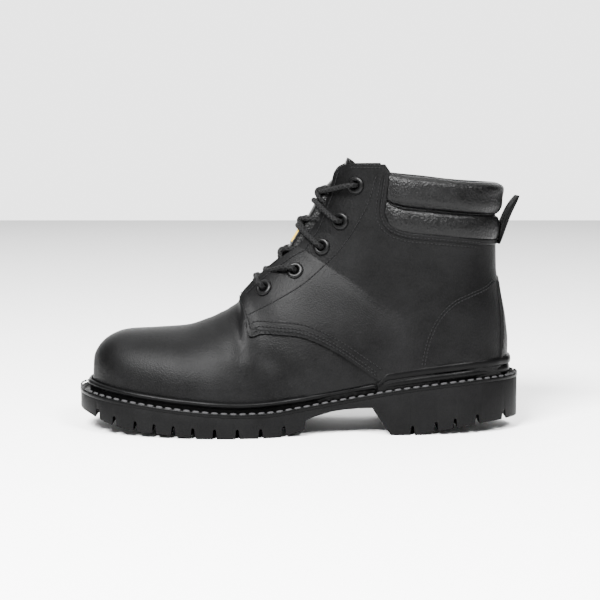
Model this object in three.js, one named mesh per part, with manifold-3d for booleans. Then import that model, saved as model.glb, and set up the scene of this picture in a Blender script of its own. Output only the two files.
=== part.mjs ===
// A black leather lace-up work boot for the left foot, standing empty on its lugged sole.
// Millimetres. +Z is up, the toe points to -X, and the outer (lateral) side faces -Y.
// The origin is on the floor, under the middle of the sole.
import * as THREE from "three";
import { mergeVertices } from "three/addons/utils/BufferGeometryUtils.js";
import Module from "manifold-3d";

const wasm = await Module();
wasm.setup();

// Sole
const soleLength = 307;
const soleWidth = 109.5;
const ballThickness = 16.7;
const toeTipTop = 29.5;
const heelTop = 38.6;
const toeSpring = 14.6;
const heelBevel = 8.6;
const lugDepth = 6.5;
const treadRecess = 5;
const treadBorder = 23;
const grooveTopWidth = 1.7;
const grooveFootWidth = 3.6;
const channelWidth = 4;
// the side grooves between the lugs, as shares of the sole's length from its middle
const forefootGrooves = [
  -0.4472, -0.4072, -0.359, -0.3166, -0.2739, -0.2306, -0.1831, -0.1336, -0.0827, -0.0319,
];
const heelGrooves = [0.2524, 0.3046, 0.3469, 0.3974, 0.4616];

// Welt and heel rand
const weltThickness = 2.6;
const weltMargin = 8;
const weltWidth = 14;
const beadHeight = 6.6;
const beadWidth = 3;
const randHeight = 13.2;
const randWidth = 2.2;
const randLip = 5;
const randLipProud = 1;

// Upper
const shaftHeight = 183.3;
const wall = 2.4;
const quarterStep = 1.8;
const backstayStep = 1;
const backstayHeight = 104;
const backstayTopWidth = 14;
const backstayFootWidth = 34;
const throatWidth = 25;
const ankleWidth = 68;

// Small pieces
const padUpperRoll = 4.2;
const padLowerRoll = 2.8;
const padGroove = 0.6;
const padInside = 6;
const tongueThickness = 2.8;
const tongueWidth = 40;
const insoleThickness = 3.2;
const eyeletHole = 5;
const eyeletFlange = 11.6;
const eyeletBarrelWall = 0.5;
const eyeletSides = 8;
const laceDiameter = 3.6;
const tabWidth = 20;
const tabLength = 31;
const tabRootThickness = 6;
const tabTipThickness = 1.8;
// how far the pull loop's root sits in below the pad's fullest roll
const tabSink = 3.1;
const gap = 0.3;

// Where things lie along the boot, worked out from the sole's length
const toeX = -soleLength / 2;
const heelX = soleLength / 2;
const ballX = -0.124 * soleLength;
const treadFlatStart = -0.154 * soleLength;
const treadFlatEnd = -0.059 * soleLength;
const forefootEnd = 0.013 * soleLength;
const breastTopX = 0.167 * soleLength;
const breastFootX = 0.2045 * soleLength;
const heelFlatEnd = 0.262 * soleLength;
const randStart = 0.173 * soleLength;
const upperToe = toeX + weltMargin + 1.5;
const upperHeel = heelX - weltMargin - quarterStep - backstayStep / 2;
const upperLength = upperHeel - upperToe;
const upperHeight = shaftHeight - ballThickness;
const padFrontX = upperToe + 0.705 * upperLength;
const slotStartX = upperToe + 0.362 * upperLength;
const ankleScale = ankleWidth / (0.621 * soleWidth);

// A smooth curve through rows of hand-chosen values, which never overshoots them.
function throughRows(at, value) {
  const n = at.length;
  const slope = at.slice(1).map((a, i) => (value[i + 1] - value[i]) / (a - at[i]));
  const tangent = at.map((_, i) => {
    if (i === 0) return slope[0];
    if (i === n - 1) return slope[n - 2];
    if (slope[i - 1] * slope[i] <= 0) return 0;
    return (2 * slope[i - 1] * slope[i]) / (slope[i - 1] + slope[i]);
  });
  return (x) => {
    let i = 0;
    while (i < n - 2 && x > at[i + 1]) i += 1;
    const span = at[i + 1] - at[i];
    const u = Math.min(1, Math.max(0, (x - at[i]) / span));
    const a = value[i] * (1 + 2 * u) * (1 - u) ** 2;
    const b = value[i + 1] * u * u * (3 - 2 * u);
    const c = tangent[i] * span * u * (1 - u) ** 2;
    const d = tangent[i + 1] * span * u * u * (u - 1);
    return a + b + c + d;
  };
}

// Sole outline seen from above: along is a share of the length from the toe tip,
// across a share of half the sole's width, negative on the outer side.
const outlineRows = [
  { along: 0, across: 0.06 },
  { along: 0.009, across: -0.22 },
  { along: 0.027, across: -0.42 },
  { along: 0.056, across: -0.6 },
  { along: 0.105, across: -0.77 },
  { along: 0.19, across: -0.915 },
  { along: 0.3, across: -0.995 },
  { along: 0.39, across: -0.965 },
  { along: 0.5, across: -0.83 },
  { along: 0.61, across: -0.74 },
  { along: 0.74, across: -0.725 },
  { along: 0.85, across: -0.7 },
  { along: 0.91, across: -0.6 },
  { along: 0.957, across: -0.43 },
  { along: 0.99, across: -0.21 },
  { along: 1, across: 0 },
  { along: 0.99, across: 0.2 },
  { along: 0.957, across: 0.42 },
  { along: 0.91, across: 0.59 },
  { along: 0.85, across: 0.685 },
  { along: 0.74, across: 0.7 },
  { along: 0.63, across: 0.665 },
  { along: 0.53, across: 0.68 },
  { along: 0.42, across: 0.81 },
  { along: 0.33, across: 0.94 },
  { along: 0.24, across: 1 },
  { along: 0.15, across: 0.925 },
  { along: 0.085, across: 0.79 },
  { along: 0.04, across: 0.6 },
  { along: 0.012, across: 0.36 },
];

// The sole's outline as points, moved inwards by inset.
function soleOutline(inset, count) {
  const knots = outlineRows.map(
    (row) => new THREE.Vector3(toeX + row.along * soleLength, (row.across * soleWidth) / 2, 0),
  );
  const curve = new THREE.CatmullRomCurve3(knots, true, "centripetal");
  const points = [];
  for (let i = 0; i < count; i += 1) {
    const p = curve.getPointAt(i / count);
    const tangent = curve.getTangentAt(i / count);
    points.push(new THREE.Vector2(p.x - tangent.y * inset, p.y + tangent.x * inset));
  }
  return points;
}

// Half-widths of the outline at x: middle line and distance from it to either side.
function halfWidths(inset) {
  const points = soleOutline(inset, 400);
  const tip = points.reduce((best, p) => (p.x < best.x ? p : best));
  const back = points.reduce((best, p) => (p.x > best.x ? p : best));
  const crossing = (x, side) => {
    let found = side * 1e-6;
    points.forEach((p, i) => {
      const q = points[(i + 1) % points.length];
      if ((p.x - x) * (q.x - x) > 0 || p.x === q.x) return;
      const y = p.y + ((x - p.x) / (q.x - p.x)) * (q.y - p.y);
      found = side < 0 ? Math.min(found, y) : Math.max(found, y);
    });
    return found;
  };
  return (x) => {
    if (x <= tip.x) return { middle: tip.y, half: 0 };
    if (x >= back.x) return { middle: back.y, half: 0 };
    const outer = crossing(x, -1);
    const inner = crossing(x, 1);
    return { middle: (outer + inner) / 2, half: (inner - outer) / 2 };
  };
}

// The area inside the sole's edge left by a border too wide for soleOutline.
const edgeHalf = halfWidths(0);
function fieldOutline(border, steps = 24) {
  const from = toeX + border;
  const to = heelX - border;
  const xs = Array.from({ length: steps + 1 }, (_, i) => from + ((to - from) * i) / steps);
  const edge = (side) =>
    xs.map((x) => {
      const { middle, half } = edgeHalf(x);
      return new THREE.Vector2(x, middle + side * Math.max(0.5, half - border));
    });
  return [...edge(-1), ...edge(1).reverse()];
}

// Height of the welt's top face along the boot
const seatRise = throughRows(
  [0, 0.1, 0.2, 0.32, 0.42, 0.53, 0.64, 0.75, 0.86, 1],
  [0, 0.025, 0.14, 0.31, 0.46, 0.63, 0.765, 0.885, 0.965, 1],
);
function weltTop(x) {
  if (x < ballX) {
    const share = Math.min(1, (ballX - x) / (ballX - toeX));
    return ballThickness + (toeTipTop - ballThickness) * share ** 1.45;
  }
  return ballThickness + (heelTop - ballThickness) * seatRise((x - ballX) / (heelX - ballX));
}

// Height of the tread's face, lugs included
const springRise = throughRows(
  [0, 0.2, 0.36, 0.54, 0.72, 0.8, 0.89, 0.97, 1],
  [0, 0.06, 0.15, 0.25, 0.45, 0.6, 0.83, 0.97, 1],
);
function treadFace(x) {
  if (x < treadFlatStart) {
    return toeSpring * springRise((treadFlatStart - x) / (treadFlatStart - toeX));
  }
  if (x < treadFlatEnd) return 0;
  if (x < breastFootX) {
    const share = (x - treadFlatEnd) / (forefootEnd - treadFlatEnd);
    return 0.28 * ballThickness * share ** 1.4;
  }
  if (x < heelFlatEnd) return 0;
  const share = (x - heelFlatEnd) / (heelX - heelFlatEnd);
  return heelBevel * Math.sin((Math.PI / 2) * share ** 0.95);
}

// Solids from three.js geometry, and back
function solidOf(geometry) {
  const bare = new THREE.BufferGeometry();
  bare.setAttribute("position", geometry.getAttribute("position"));
  if (geometry.index) bare.setIndex(geometry.index);
  const merged = mergeVertices(bare, 1e-4);
  const index = [];
  for (let i = 0; i < merged.index.count; i += 3) {
    const [a, b, c] = [0, 1, 2].map((k) => merged.index.getX(i + k));
    if (a !== b && b !== c && c !== a) index.push(a, b, c);
  }
  return new wasm.Manifold(
    new wasm.Mesh({
      numProp: 3,
      vertProperties: merged.attributes.position.array,
      triVerts: new Uint32Array(index),
    }),
  );
}

function meshOf(name, solid, material) {
  const made = solid.getMesh();
  const geometry = new THREE.BufferGeometry();
  geometry.setAttribute("position", new THREE.BufferAttribute(made.vertProperties, 3));
  geometry.setIndex(new THREE.BufferAttribute(made.triVerts, 1));
  const mesh = new THREE.Mesh(geometry, material);
  mesh.name = name;
  return mesh;
}

// A prism through the whole width from a side-view outline of [x, z] points.
function sidePrism(points, low = -90, high = 90) {
  const shape = new THREE.Shape(points.map(([x, z]) => new THREE.Vector2(x, z)));
  const geometry = new THREE.ExtrudeGeometry(shape, { depth: high - low, bevelEnabled: false });
  geometry.rotateX(Math.PI / 2);
  geometry.translate(0, high, 0);
  return solidOf(geometry);
}

// A prism straight up from an outline seen from above.
function planPrism(points, low, high) {
  const geometry = new THREE.ExtrudeGeometry(new THREE.Shape(points), {
    depth: high - low,
    bevelEnabled: false,
  });
  geometry.translate(0, 0, low);
  return solidOf(geometry);
}

const alongSole = (from, to, steps) =>
  Array.from({ length: steps + 1 }, (_, i) => from + ((to - from) * i) / steps);

// Everything between two heights above the welt's top face.
function weltBand(low, high, from = toeX - 5, to = heelX + 5) {
  const xs = alongSole(from, to, 20);
  const lower = xs.map((x) => [x, weltTop(x) + low]);
  const upper = xs.map((x) => [x, weltTop(x) + high]).reverse();
  return sidePrism([...lower, ...upper]);
}

// Sections of the last's outside, fanning from upright at the toe to level at the collar.
// foot: where the section stands on the sole, as a share of the upper's length; back: its
// foot on the back line instead, as [share of length, share of height]; ridge: its other
// end on the front line; wide: greatest half-width, as a share of the sole's width, or 0
// where the sole's own outline gives it; belly: where along the section that is;
// heel and crown: how full the curve is below and above the belly.
const sectionRows = [
  { foot: 0, ridge: [0, 0.176], wide: 0, belly: 0.3, heel: 2, crown: 2.4 },
  { foot: 0.0035, ridge: [0.0035, 0.203], wide: 0, belly: 0.3, heel: 2, crown: 2.4 },
  { foot: 0.017, ridge: [0.017, 0.244], wide: 0, belly: 0.3, heel: 2, crown: 2.4 },
  { foot: 0.045, ridge: [0.045, 0.283], wide: 0, belly: 0.3, heel: 2, crown: 2.4 },
  { foot: 0.086, ridge: [0.086, 0.3055], wide: 0, belly: 0.3, heel: 2, crown: 2.35 },
  { foot: 0.155, ridge: [0.155, 0.3128], wide: 0, belly: 0.3, heel: 2, crown: 2.25 },
  { foot: 0.225, ridge: [0.225, 0.3225], wide: 0, belly: 0.28, heel: 2, crown: 2.1 },
  { foot: 0.292, ridge: [0.289, 0.358], wide: 0, belly: 0.25, heel: 2, crown: 1.95 },
  { foot: 0.342, ridge: [0.334, 0.397], wide: 0, belly: 0.22, heel: 2, crown: 1.9 },
  { foot: 0.37, ridge: [0.354, 0.42], wide: 0, belly: 0.2, heel: 2, crown: 1.88 },
  { foot: 0.405, ridge: [0.363, 0.468], wide: 0, belly: 0.19, heel: 2, crown: 1.86 },
  { foot: 0.47, ridge: [0.3795, 0.516], wide: 0, belly: 0.18, heel: 2, crown: 1.88 },
  { foot: 0.58, ridge: [0.409, 0.5625], wide: 0.352, belly: 0.2, heel: 2, crown: 1.92 },
  { foot: 0.71, ridge: [0.4395, 0.61], wide: 0.339, belly: 0.25, heel: 2, crown: 1.96 },
  { foot: 0.84, ridge: [0.463, 0.645], wide: 0.331, belly: 0.28, heel: 2, crown: 2 },
  { foot: 0.915, ridge: [0.474, 0.661], wide: 0.326, belly: 0.3, heel: 2.1, crown: 2 },
  { foot: 0.962, ridge: [0.48, 0.6695], wide: 0.321, belly: 0.31, heel: 2.2, crown: 2 },
  { foot: 0.987, ridge: [0.484, 0.6755], wide: 0.319, belly: 0.32, heel: 2.25, crown: 2 },
  { back: [0.9985, 0.118], ridge: [0.486, 0.68], wide: 0.317, belly: 0.32, heel: 2.3, crown: 2 },
  { back: [1, 0.25], ridge: [0.498, 0.7], wide: 0.314, belly: 0.34, heel: 2.3, crown: 2 },
  { back: [0.9935, 0.365], ridge: [0.511, 0.721], wide: 0.311, belly: 0.36, heel: 2.25, crown: 2 },
  { back: [0.9815, 0.474], ridge: [0.523, 0.74], wide: 0.309, belly: 0.38, heel: 2.2, crown: 2 },
  { back: [0.9725, 0.575], ridge: [0.536, 0.767], wide: 0.308, belly: 0.4, heel: 2.2, crown: 2.05 },
  { back: [0.9715, 0.672], ridge: [0.547, 0.8], wide: 0.309, belly: 0.41, heel: 2.2, crown: 2.1 },
  { back: [0.972, 0.725], ridge: [0.5575, 0.84], wide: 0.31, belly: 0.42, heel: 2.2, crown: 2.1 },
  { back: [0.9725, 0.775], ridge: [0.5675, 0.877], wide: 0.311, belly: 0.43, heel: 2.2, crown: 2.1 },
  { back: [0.973, 0.83], ridge: [0.575, 0.92], wide: 0.313, belly: 0.43, heel: 2.2, crown: 2.15 },
  { back: [0.9735, 0.885], ridge: [0.5825, 0.962], wide: 0.315, belly: 0.44, heel: 2.2, crown: 2.15 },
  { back: [0.974, 0.95], ridge: [0.59, 1.005], wide: 0.317, belly: 0.44, heel: 2.2, crown: 2.2 },
  { back: [0.975, 1.09], ridge: [0.602, 1.1], wide: 0.318, belly: 0.45, heel: 2.2, crown: 2.2 },
];
const footDrop = 6;
const ridgeLean = 0.025 * soleWidth;
const featherHalf = halfWidths(weltMargin);

const sections = sectionRows.map((row, i) => {
  const onSole = row.foot !== undefined;
  const x = upperToe + (onSole ? row.foot : row.back[0]) * upperLength;
  const outline = featherHalf(onSole && i > 0 ? Math.max(x, upperToe + 0.05) : x);
  const half = onSole && i > 0 ? outline.half : 0;
  return {
    footX: x,
    footZ: onSole ? weltTop(x) - footDrop : ballThickness + row.back[1] * upperHeight,
    ridgeX: upperToe + row.ridge[0] * upperLength,
    ridgeZ: ballThickness + row.ridge[1] * upperHeight,
    half,
    middle: outline.middle,
    wide: i === 0 ? 0 : row.wide ? Math.max(row.wide * soleWidth * ankleScale, half) : half * 1.012,
    belly: row.belly,
    heel: row.heel,
    crown: row.crown,
  };
});

const sectionKeys = Object.keys(sections[0]);
const sectionCurves = Object.fromEntries(
  sectionKeys.map((key) => [
    key,
    throughRows(
      sections.map((_, i) => i),
      sections.map((s) => s[key]),
    ),
  ]),
);
const sectionAt = (t) => Object.fromEntries(sectionKeys.map((key) => [key, sectionCurves[key](t)]));

// Half-width of a section at a share h of the way from its foot to the ridge.
function sectionHalf(s, h) {
  if (s.wide <= 0) return 0;
  if (h < s.belly) {
    const missing = 1 - (s.half / s.wide) ** s.heel;
    return s.wide * (1 - missing * ((s.belly - h) / s.belly) ** s.heel) ** (1 / s.heel);
  }
  return s.wide * Math.max(0, 1 - ((h - s.belly) / (1 - s.belly)) ** s.crown) ** (1 / s.crown);
}

// A point of the last's outside. side is -1 for the outer side and 1 for the inner one.
function lastPoint(t, h, side) {
  const s = sectionAt(t);
  const middle = s.middle + (ridgeLean - s.middle) * h;
  return new THREE.Vector3(
    s.footX + (s.ridgeX - s.footX) * h,
    middle + side * sectionHalf(s, h),
    s.footZ + (s.ridgeZ - s.footZ) * h,
  );
}

// The last's outside grown by a number of millimetres, or by a function of [t, h, side].
const ringHalf = 11;
const sectionSteps = sections.length - 1;
const lastMesh = (() => {
  const stations = [];
  for (let i = 0; i <= sectionSteps; i += 1) stations.push(i);
  const places = [];
  const points = [];
  stations.forEach((t) => {
    for (let j = 0; j <= 2 * ringHalf; j += 1) {
      const side = j <= ringHalf ? -1 : 1;
      const k = side < 0 ? j : 2 * ringHalf - j;
      const h = (1 - Math.cos((Math.PI * k) / ringHalf)) / 2;
      places.push([t, h, side]);
      points.push(lastPoint(t, h, side));
    }
  });
  const ring = 2 * ringHalf + 1;
  const skin = [];
  const closing = [];
  for (let i = 0; i < stations.length - 1; i += 1) {
    for (let j = 0; j < ring - 1; j += 1) {
      const a = i * ring + j;
      skin.push([a, a + ring + 1, a + 1], [a, a + ring, a + ring + 1]);
    }
    const a = i * ring;
    closing.push([a + ring - 1, a + ring, a], [a + ring - 1, a + 2 * ring - 1, a + ring]);
  }
  const last = (stations.length - 1) * ring;
  for (let j = 0; j < ringHalf; j += 1) {
    const [a, b, c, d] = [last + j, last + j + 1, last + ring - 2 - j, last + ring - 1 - j];
    closing.push([a, c, b], [a, d, c]);
  }
  // Points that coincide share one normal, worked out from the skin alone.
  const keyOf = (p) => [p.x, p.y, p.z].map((v) => Math.round(v * 1e3)).join(",");
  const sums = new Map();
  skin.forEach((face) => {
    const [p, q, r] = face.map((k) => points[k]);
    const normal = new THREE.Vector3().subVectors(q, p).cross(new THREE.Vector3().subVectors(r, p));
    face.forEach((k) => {
      const key = keyOf(points[k]);
      if (!sums.has(key)) sums.set(key, new THREE.Vector3());
      sums.get(key).add(normal);
    });
  });
  const normals = points.map((p) => sums.get(keyOf(p)).clone().normalize());
  return { places, points, normals, faces: [...skin, ...closing] };
})();

function lastForm(grow) {
  const position = [];
  lastMesh.points.forEach((p, i) => {
    const by = typeof grow === "function" ? grow(...lastMesh.places[i], p) : grow;
    position.push(...p.clone().addScaledVector(lastMesh.normals[i], by).toArray());
  });
  const geometry = new THREE.BufferGeometry();
  geometry.setAttribute("position", new THREE.Float32BufferAttribute(position, 3));
  geometry.setIndex(lastMesh.faces.flat());
  return solidOf(geometry);
}


// The section whose line, seen from the side, passes through x and z.
function placeAt(x, z) {
  let low = 0.5;
  let high = sectionSteps;
  const ahead = (t) => {
    const s = sectionAt(t);
    return (s.ridgeX - s.footX) * (z - s.footZ) - (s.ridgeZ - s.footZ) * (x - s.footX);
  };
  for (let i = 0; i < 40; i += 1) {
    const t = (low + high) / 2;
    if (ahead(t) < 0) low = t;
    else high = t;
  }
  const s = sectionAt(low);
  const run = new THREE.Vector2(s.ridgeX - s.footX, s.ridgeZ - s.footZ);
  const h = new THREE.Vector2(x - s.footX, z - s.footZ).dot(run) / run.lengthSq();
  return { t: low, h };
}

function normalAt(t, h, side) {
  const along = lastPoint(t + 0.02, h, side).sub(lastPoint(t - 0.02, h, side));
  const up = lastPoint(t, h + 0.004, side).sub(lastPoint(t, h - 0.004, side));
  return along.cross(up).normalize().multiplyScalar(-side);
}

const place = (share, rise) => [upperToe + share * upperLength, ballThickness + rise * upperHeight];
const below = -40;
const above = shaftHeight + 60;

// Seam where the quarter laps over the vamp, from the facing down to the rand
const quarterFront = [
  [0.352, 0.6],
  [0.3585, 0.435],
  [0.3665, 0.4],
  [0.375, 0.355],
  [0.3845, 0.304],
  [0.397, 0.302],
  [0.41, 0.3105],
  [0.456, 0.3095],
  [0.503, 0.303],
  [0.549, 0.276],
  [0.596, 0.233],
  [0.643, 0.179],
  [0.692, 0.118],
  [0.716, 0.07],
].map(([share, rise]) => place(share, rise));

// Seam between the quarter and the collar pad
const padSeam = [
  [0.705, 0.8],
  [0.712, 0.765],
  [0.726, 0.742],
  [0.757, 0.724],
  [0.828, 0.712],
  [0.898, 0.7],
  [0.97, 0.689],
].map(([share, rise]) => place(share, rise));
const seamHeight = throughRows(
  padSeam.map((p) => p[0]),
  padSeam.map((p) => p[1]),
);
const padTop = throughRows(
  [0.705, 0.735, 0.81, 0.88, 0.93, 0.98].map((share) => upperToe + share * upperLength),
  [0.966, 0.959, 0.946, 0.932, 0.9265, 0.9235].map((rise) => ballThickness + rise * upperHeight),
);

// Outsole: its plan outline and side outline crossed, then the lugs cut in
const outsole = (() => {
  const topXs = alongSole(toeX - 2, heelX + 2, 20);
  const topLine = topXs.map((x) => [x, weltTop(x) - weltThickness - gap]);
  const foreXs = alongSole(toeX - 2, forefootEnd, 18);
  const foreLine = foreXs.map((x) => [x, treadFace(Math.max(toeX, x))]);
  const shank = [
    [0.0155, 0.73],
    [0.037, 0.88],
    [0.073, 1.06],
    [0.1, 1.13],
    [0.132, 1.17],
    [0.158, 1.15],
  ].map(([share, rise]) => [share * soleLength, rise * ballThickness - 1]);
  const heelXs = alongSole(breastFootX + 0.4, heelX + 2, 14);
  const heelLine = heelXs.map((x) => [x, treadFace(Math.min(x, heelX))]);
  const breast = [
    [breastTopX, ballThickness],
    [breastFootX, 0],
  ];
  const side = sidePrism([...foreLine, ...shank, ...breast, ...heelLine, ...topLine.reverse()]);
  const plan = planPrism(soleOutline(0.8, 56), -5, 70);
  let body = plan.intersect(side);

  const groove = (x, shift = 0) => {
    const face = treadFace(x);
    return sidePrism([
      [x - grooveFootWidth / 2 + shift, face - 3],
      [x + grooveFootWidth / 2 + shift, face - 3],
      [x + grooveTopWidth / 2 + shift, face + lugDepth],
      [x - grooveTopWidth / 2 + shift, face + lugDepth],
    ]);
  };
  const underside = (from, to) => {
    const xs = alongSole(from, to, 20);
    const top = xs.map((x) => [x, treadFace(Math.min(heelX, Math.max(toeX, x))) + treadRecess]);
    return sidePrism([[from, -9], [to, -9], ...top.reverse()]);
  };
  const inside = planPrism(fieldOutline(treadBorder), -9, 60);
  const core = planPrism(fieldOutline(treadBorder + channelWidth), -10, 61);
  const channel = inside.subtract(core);
  const sideLugs = planPrism(fieldOutline(treadBorder + 1), -11, 62);
  const midLugs = planPrism(fieldOutline(treadBorder + channelWidth - 1), -11, 62);
  forefootGrooves.forEach((share, i) => {
    const x = share * soleLength;
    body = body.subtract(groove(x).subtract(sideLugs));
    const middle = i > 1 ? ((share + forefootGrooves[i - 1]) / 2) * soleLength : null;
    if (middle !== null) body = body.subtract(groove(middle).intersect(midLugs));
  });
  for (let i = 0; i < heelGrooves.length; i += 1) {
    const share = heelGrooves[i];
    body = body.subtract(groove(share * soleLength).subtract(sideLugs));
    const middle = i > 0 && i < heelGrooves.length - 1 ? (share + heelGrooves[i - 1]) / 2 : null;
    if (middle !== null) body = body.subtract(groove(middle * soleLength).intersect(midLugs));
  }
  body = body.subtract(channel.intersect(underside(toeX + treadBorder - 3, forefootEnd - 3)));
  return body.subtract(channel.intersect(underside(breastFootX + 7, heelX)));
})();

// Welt: a flat strip round the whole sole, with a bead that hugs the vamp
const welt = (() => {
  const ring = planPrism(soleOutline(0, 56), -5, 70).subtract(
    planPrism(soleOutline(weltWidth, 40), -6, 71),
  );
  const strip = ring.intersect(weltBand(-weltThickness, 0));
  const beadEnd = sidePrism([
    [toeX - 5, below],
    [randStart - gap, below],
    [randStart - gap, above],
    [toeX - 5, above],
  ]);
  const around = lastForm(gap + beadWidth).subtract(lastForm(gap));
  return strip.add(around.intersect(weltBand(-0.3, beadHeight)).intersect(beadEnd));
})();

// Heel rand: a rubber band that stands on the welt behind the arch, with a fuller lip
const heelRand = (() => {
  const front = sidePrism([
    [randStart, below],
    [heelX + 9, below],
    [heelX + 9, above],
    [randStart + 7, above],
    [randStart + 7, weltTop(randStart) + randHeight],
    [randStart, weltTop(randStart) + 3],
  ]);
  const inner = lastForm(quarterStep + gap);
  const lower = lastForm(quarterStep + gap + randWidth).intersect(weltBand(gap, randHeight - 0.6));
  const lip = lastForm(quarterStep + gap + randWidth + randLipProud);
  const upper = lip.intersect(weltBand(randHeight - randLip, randHeight));
  return lower.add(upper).subtract(inner).intersect(front);
})();

// Insole: lies inside, on the welt's inner edge
const insole = lastForm(-wall - 2 * gap).intersect(weltBand(gap, gap + insoleThickness));

// Upper
const throatLine = [
  [0.3465, 0.4],
  [0.362, 0.47],
  [0.378, 0.51],
  [0.44, 0.606],
  [0.489, 0.68],
  [0.53, 0.752],
  [0.56, 0.85],
  [0.585, 0.95],
  [0.6, 1.15],
].map(([share, rise]) => place(share, rise));

function throatPrism(margin) {
  const inward = throatLine.map(([x, z], i) => [x + 15 - i, z - 17 + i]).reverse();
  const outward = throatLine.map(([x, z]) => [x - 18, z + 12]);
  outward[0] = [slotStartX + margin, throatLine[0][1] + 30];
  inward[inward.length - 1] = [slotStartX + margin, throatLine[0][1] - 14];
  const half = throatWidth / 2 - margin;
  const points = [...outward.slice(0, 1), ...outward.slice(2), ...inward];
  return sidePrism(points, ridgeLean - half, ridgeLean + half);
}

const eyeletPlaces = [
  [0.4206, 0.4863],
  [0.4947, 0.5592],
  [0.5594, 0.659],
  [0.6039, 0.7664],
  [0.6395, 0.9127],
].map(([share, rise]) => place(share, rise));

// Centre and outward direction of an eyelet, on the quarter's outside.
function eyeletFrame([x, z], side) {
  const { t, h } = placeAt(x, z);
  const out = normalAt(t, h, side);
  const at = lastPoint(t, h, side).addScaledVector(out, quarterStep);
  const turn = new THREE.Quaternion().setFromUnitVectors(new THREE.Vector3(0, 1, 0), out);
  return { at, out, turn };
}

function turned(points, frame, segments = 16) {
  const outline = points.map(([r, y]) => new THREE.Vector2(r, y));
  const geometry = new THREE.LatheGeometry([...outline, outline[0].clone()], segments);
  geometry.applyQuaternion(frame.turn);
  geometry.translate(...frame.at.toArray());
  return solidOf(geometry);
}

const eyeletHoleRadius = eyeletHole / 2 + eyeletBarrelWall + gap;
const eyeletFrames = eyeletPlaces.flatMap((p) => [-1, 1].map((side) => eyeletFrame(p, side)));

const upper = (() => {
  const outside = lastForm(0);
  const quarterRegion = sidePrism([
    ...quarterFront,
    [quarterFront[13][0], below],
    [heelX + 9, below],
    [heelX + 9, above],
    [quarterFront[0][0], above],
  ]);
  const quarter = lastForm(quarterStep).intersect(quarterRegion);
  const stayFoot = weltTop(heelX) + randHeight + 1.5;
  const stayBack = heelX + 9;
  const stay = lastForm(quarterStep + backstayStep).intersect(
    sidePrism([
      [stayBack - 40, below],
      [stayBack, below],
      [stayBack, backstayHeight + 1],
      [stayBack - 40, backstayHeight],
    ]),
  );
  const stayShape = new THREE.Shape([
    new THREE.Vector2(-backstayFootWidth / 2, stayFoot - 14),
    new THREE.Vector2(backstayFootWidth / 2, stayFoot - 14),
    new THREE.Vector2(backstayFootWidth / 2 - 1.5, stayFoot + 8),
    new THREE.Vector2(backstayTopWidth / 2, backstayHeight + 4),
    new THREE.Vector2(-backstayTopWidth / 2, backstayHeight + 4),
    new THREE.Vector2(-backstayFootWidth / 2 + 1.5, stayFoot + 8),
  ]);
  const stayGeometry = new THREE.ExtrudeGeometry(stayShape, { depth: 60, bevelEnabled: false });
  stayGeometry.rotateX(Math.PI / 2);
  stayGeometry.rotateZ(Math.PI / 2);
  stayGeometry.translate(heelX - 45, 0, 0);
  const aboveRand = solidOf(stayGeometry).subtract(weltBand(-60, randHeight + gap));
  const backstay = stay.intersect(aboveRand);
  const insideCut = lastForm((t, h, side, p) => -wall - (t > 19 && p.z > shaftHeight + 8 ? -1 : 0));
  const collarCut = sidePrism([
    [padFrontX - 3 * gap, above],
    ...padSeam.map(([x, z], i) => [x - (i < 2 ? 3 * gap : gap), z - gap]),
    [heelX + 20, padSeam[padSeam.length - 1][1] - gap - 1],
    [heelX + 20, above],
  ]);
  const topCut = sidePrism([
    [toeX, above],
    [toeX, shaftHeight + 30],
    [place(0.553, 0.9)[0] - 15, shaftHeight - 5],
    [place(0.5745, 0.925)[0] - 3, place(0, 0.925)[1]],
    [place(0.585, 0)[0], place(0, 0.957)[1]],
    [place(0.598, 0)[0], place(0, 0.986)[1]],
    [place(0.6145, 0)[0], shaftHeight],
    [heelX + 9, shaftHeight],
    [heelX + 9, above],
  ]);
  const hole = [
    [0, -9],
    [eyeletHoleRadius, -9],
    [eyeletHoleRadius, 7],
    [0, 7],
  ];
  let body = outside.add(quarter).add(backstay).subtract(insideCut);
  body = body.subtract(weltBand(-60, gap)).subtract(throatPrism(0)).subtract(collarCut);
  body = body.subtract(topCut);
  eyeletFrames.forEach((frame) => {
    body = body.subtract(turned(hole, frame, eyeletSides));
  });
  return body;
})();

// A closed solid from a row of closed loops, each a list of the same number of points.
function loopsSolid(loops) {
  const n = loops[0].length;
  const position = loops.flatMap((loop) => loop.flatMap((p) => p.toArray()));
  const index = [];
  for (let i = 0; i < loops.length - 1; i += 1) {
    for (let j = 0; j < n; j += 1) {
      const [a, b] = [i * n + j, i * n + ((j + 1) % n)];
      index.push(a, b, b + n, a, b + n, a + n);
    }
  }
  const cap = (loop, start, flip) => {
    const middle = loop.reduce((sum, p) => sum.add(p), new THREE.Vector3()).divideScalar(n);
    const face = new THREE.Vector3();
    loop.forEach((p, j) => {
      const q = loop[(j + 1) % n];
      face.add(p.clone().sub(middle).cross(q.clone().sub(middle)));
    });
    const across = loop[0].clone().sub(middle).normalize();
    const other = face.normalize().clone().cross(across);
    const flat = loop.map((p) => {
      const d = p.clone().sub(middle);
      return new THREE.Vector2(d.dot(across), d.dot(other));
    });
    THREE.ShapeUtils.triangulateShape(flat, []).forEach(([a, b, c]) => {
      if (flip) index.push(start + a, start + c, start + b);
      else index.push(start + a, start + b, start + c);
    });
  };
  cap(loops[0], 0, true);
  cap(loops[loops.length - 1], (loops.length - 1) * n, false);
  const geometry = new THREE.BufferGeometry();
  geometry.setAttribute("position", new THREE.Float32BufferAttribute(position, 3));
  geometry.setIndex(index);
  return solidOf(geometry);
}

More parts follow.
